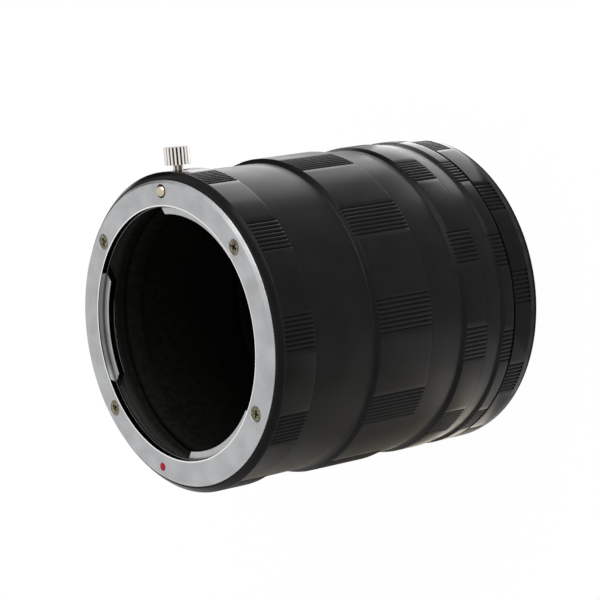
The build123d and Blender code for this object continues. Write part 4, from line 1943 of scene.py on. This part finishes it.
def rays_that_see_white(tree: bpy.types.NodeTree) -> bpy.types.NodeSocket:
    """Socket that is 1 for camera, glossy and transmission rays and 0 for the rest.

    Args:
        tree: node tree that gets the nodes.

    Returns:
        The socket.
    """
    path = tree.nodes.new("ShaderNodeLightPath")
    seen = path.outputs["Is Camera Ray"]
    for name in ("Is Glossy Ray", "Is Transmission Ray"):
        larger = tree.nodes.new("ShaderNodeMath")
        larger.operation = "MAXIMUM"
        tree.links.new(seen, larger.inputs[0])
        tree.links.new(path.outputs[name], larger.inputs[1])
        seen = larger.outputs[0]
    return seen


@dataclass(frozen=True)
class Studio:
    """White sweep, soft lamps and the camera at the photograph's angle."""

    camera_place: tuple[float, float, float] = (-0.48473, -0.07186, 0.43863)
    camera_turn: tuple[float, float, float] = (-0.213711, 0.874439, 3.008023)
    focal_length: float = 173.74
    floor_size: float = 12.0
    ambient: float = 0.5
    glow_share: float = 0.94
    glow: float = 1.03

    def build(self) -> None:
        """Set up floor, world, lamps and camera."""
        bpy.context.scene.view_settings.view_transform = "Standard"
        self.lay_floor()
        self.light_world()
        for box in self.softboxes():
            box.make()
        for reflection_sheet in self.reflection_sheets():
            reflection_sheet.make()
        self.hang_camera()

    def softboxes(self) -> list[Softbox]:
        """The lamps of the studio.

        Returns:
            The lamps.
        """
        return [
            Softbox("high_fill", (-0.393, -0.629, 0.340), (0.85, 0.40), 3.2),
            Softbox("panel_beside", (0.045, -0.107, 0.003), (0.09, 0.106), 0.082, (0.045, -0.107, 1.0)),
            Softbox("panel_at_foot", (-0.004, -0.0415, 0.003), (0.044, 0.017), 0.0100, (-0.004, -0.0415, 1.0)),
            Softbox("panel_in_front", (-0.062, 0.058, 0.003), (0.075, 0.080), 0.0160, (-0.062, 0.058, 1.0)),
            Softbox("warm_panel_at_foot", (-0.008, 0.041, 0.003), (0.075, 0.012), 0.0056, (-0.008, 0.041, 1.0),
                    (1.0, 0.90, 0.72))]

    def reflection_sheets(self) -> list[ReflectionSheet]:
        """The sheets round the set: a dark one behind the knob, a painted dark reflection, and a glowing warm grey
        one on the floor across from it, a painted floor shadow in the reflections.

        Returns:
            The sheets.
        """
        return [
            # painted reflections: a dark sheet behind the knob, and a glowing warm sheet on the floor for the floor's
            # shadow
            ReflectionSheet("painted_dark_reflection", (0.085, -0.130, 0.045), (0.20, 0.088), (0.0, 0.0, 0.045), (0.004, 0.004, 0.004)),
            ReflectionSheet("painted_floor_shadow", (0.0, 0.076, 0.002), (0.24, 0.060), (0.0, 0.076, 1.0), (0.52, 0.48, 0.40))]

    def lay_floor(self) -> None:
        """Lay the white floor, which keeps a faint shadow."""
        bpy.ops.object.select_all(action="DESELECT")
        bpy.ops.mesh.primitive_plane_add(size=self.floor_size)
        floor = bpy.context.object
        floor.name = "floor"
        material = bpy.data.materials.new("white_sweep")
        material.use_nodes = True
        tree = material.node_tree
        shader = tree.nodes["Principled BSDF"]
        shader.inputs["Base Color"].default_value = (0.9, 0.9, 0.9, 1)
        shader.inputs["Roughness"].default_value = 0.9
        glow = tree.nodes.new("ShaderNodeEmission")
        glow.inputs["Strength"].default_value = self.glow
        share = tree.nodes.new("ShaderNodeMath")
        share.operation = "MULTIPLY"
        share.inputs[1].default_value = self.glow_share
        tree.links.new(rays_that_see_white(tree), share.inputs[0])
        mix = tree.nodes.new("ShaderNodeMixShader")
        tree.links.new(share.outputs[0], mix.inputs[0])
        tree.links.new(shader.outputs[0], mix.inputs[1])
        tree.links.new(glow.outputs[0], mix.inputs[2])
        tree.links.new(mix.outputs[0], tree.nodes["Material Output"].inputs["Surface"])
        floor.data.materials.append(material)

    def light_world(self) -> None:
        """White surroundings where they are seen, and a low even light elsewhere."""
        world = bpy.data.worlds.new("sweep")
        bpy.context.scene.world = world
        world.use_nodes = True
        tree = world.node_tree
        sky = tree.nodes["Background"]
        sky.inputs["Color"].default_value = (1, 1, 1, 1)
        strength = tree.nodes.new("ShaderNodeMapRange")
        strength.inputs["To Min"].default_value = self.ambient
        strength.inputs["To Max"].default_value = 1.0
        tree.links.new(rays_that_see_white(tree), strength.inputs["Value"])
        tree.links.new(strength.outputs["Result"], sky.inputs["Strength"])

    def hang_camera(self) -> None:
        """Place the camera as the photograph was taken, rolled so that the knob is up."""
        lens = bpy.data.cameras.new("camera")
        lens.lens = self.focal_length
        lens.sensor_width = 36.0
        lens.clip_start = 0.01
        lens.clip_end = 50.0
        camera = bpy.data.objects.new("camera", lens)
        camera.location = self.camera_place
        camera.rotation_euler = self.camera_turn
        bpy.context.scene.collection.objects.link(camera)
        bpy.context.scene.camera = camera


def main() -> None:
    """Build the object and its studio round the frame."""
    logging.basicConfig(level=logging.INFO, format="%(name)s: %(message)s")
    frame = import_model()
    tube_set = ExtensionTubeSet(Stack.read())
    tube_set.build_tubes()
    tube_set.build_lens_side()
    tube_set.build_camera_side()
    tube_set.dress_cad_springs(frame["nodes"])
    Studio().build()
    LOG.info("all pieces built")


if __name__ == "__main__":
    main()
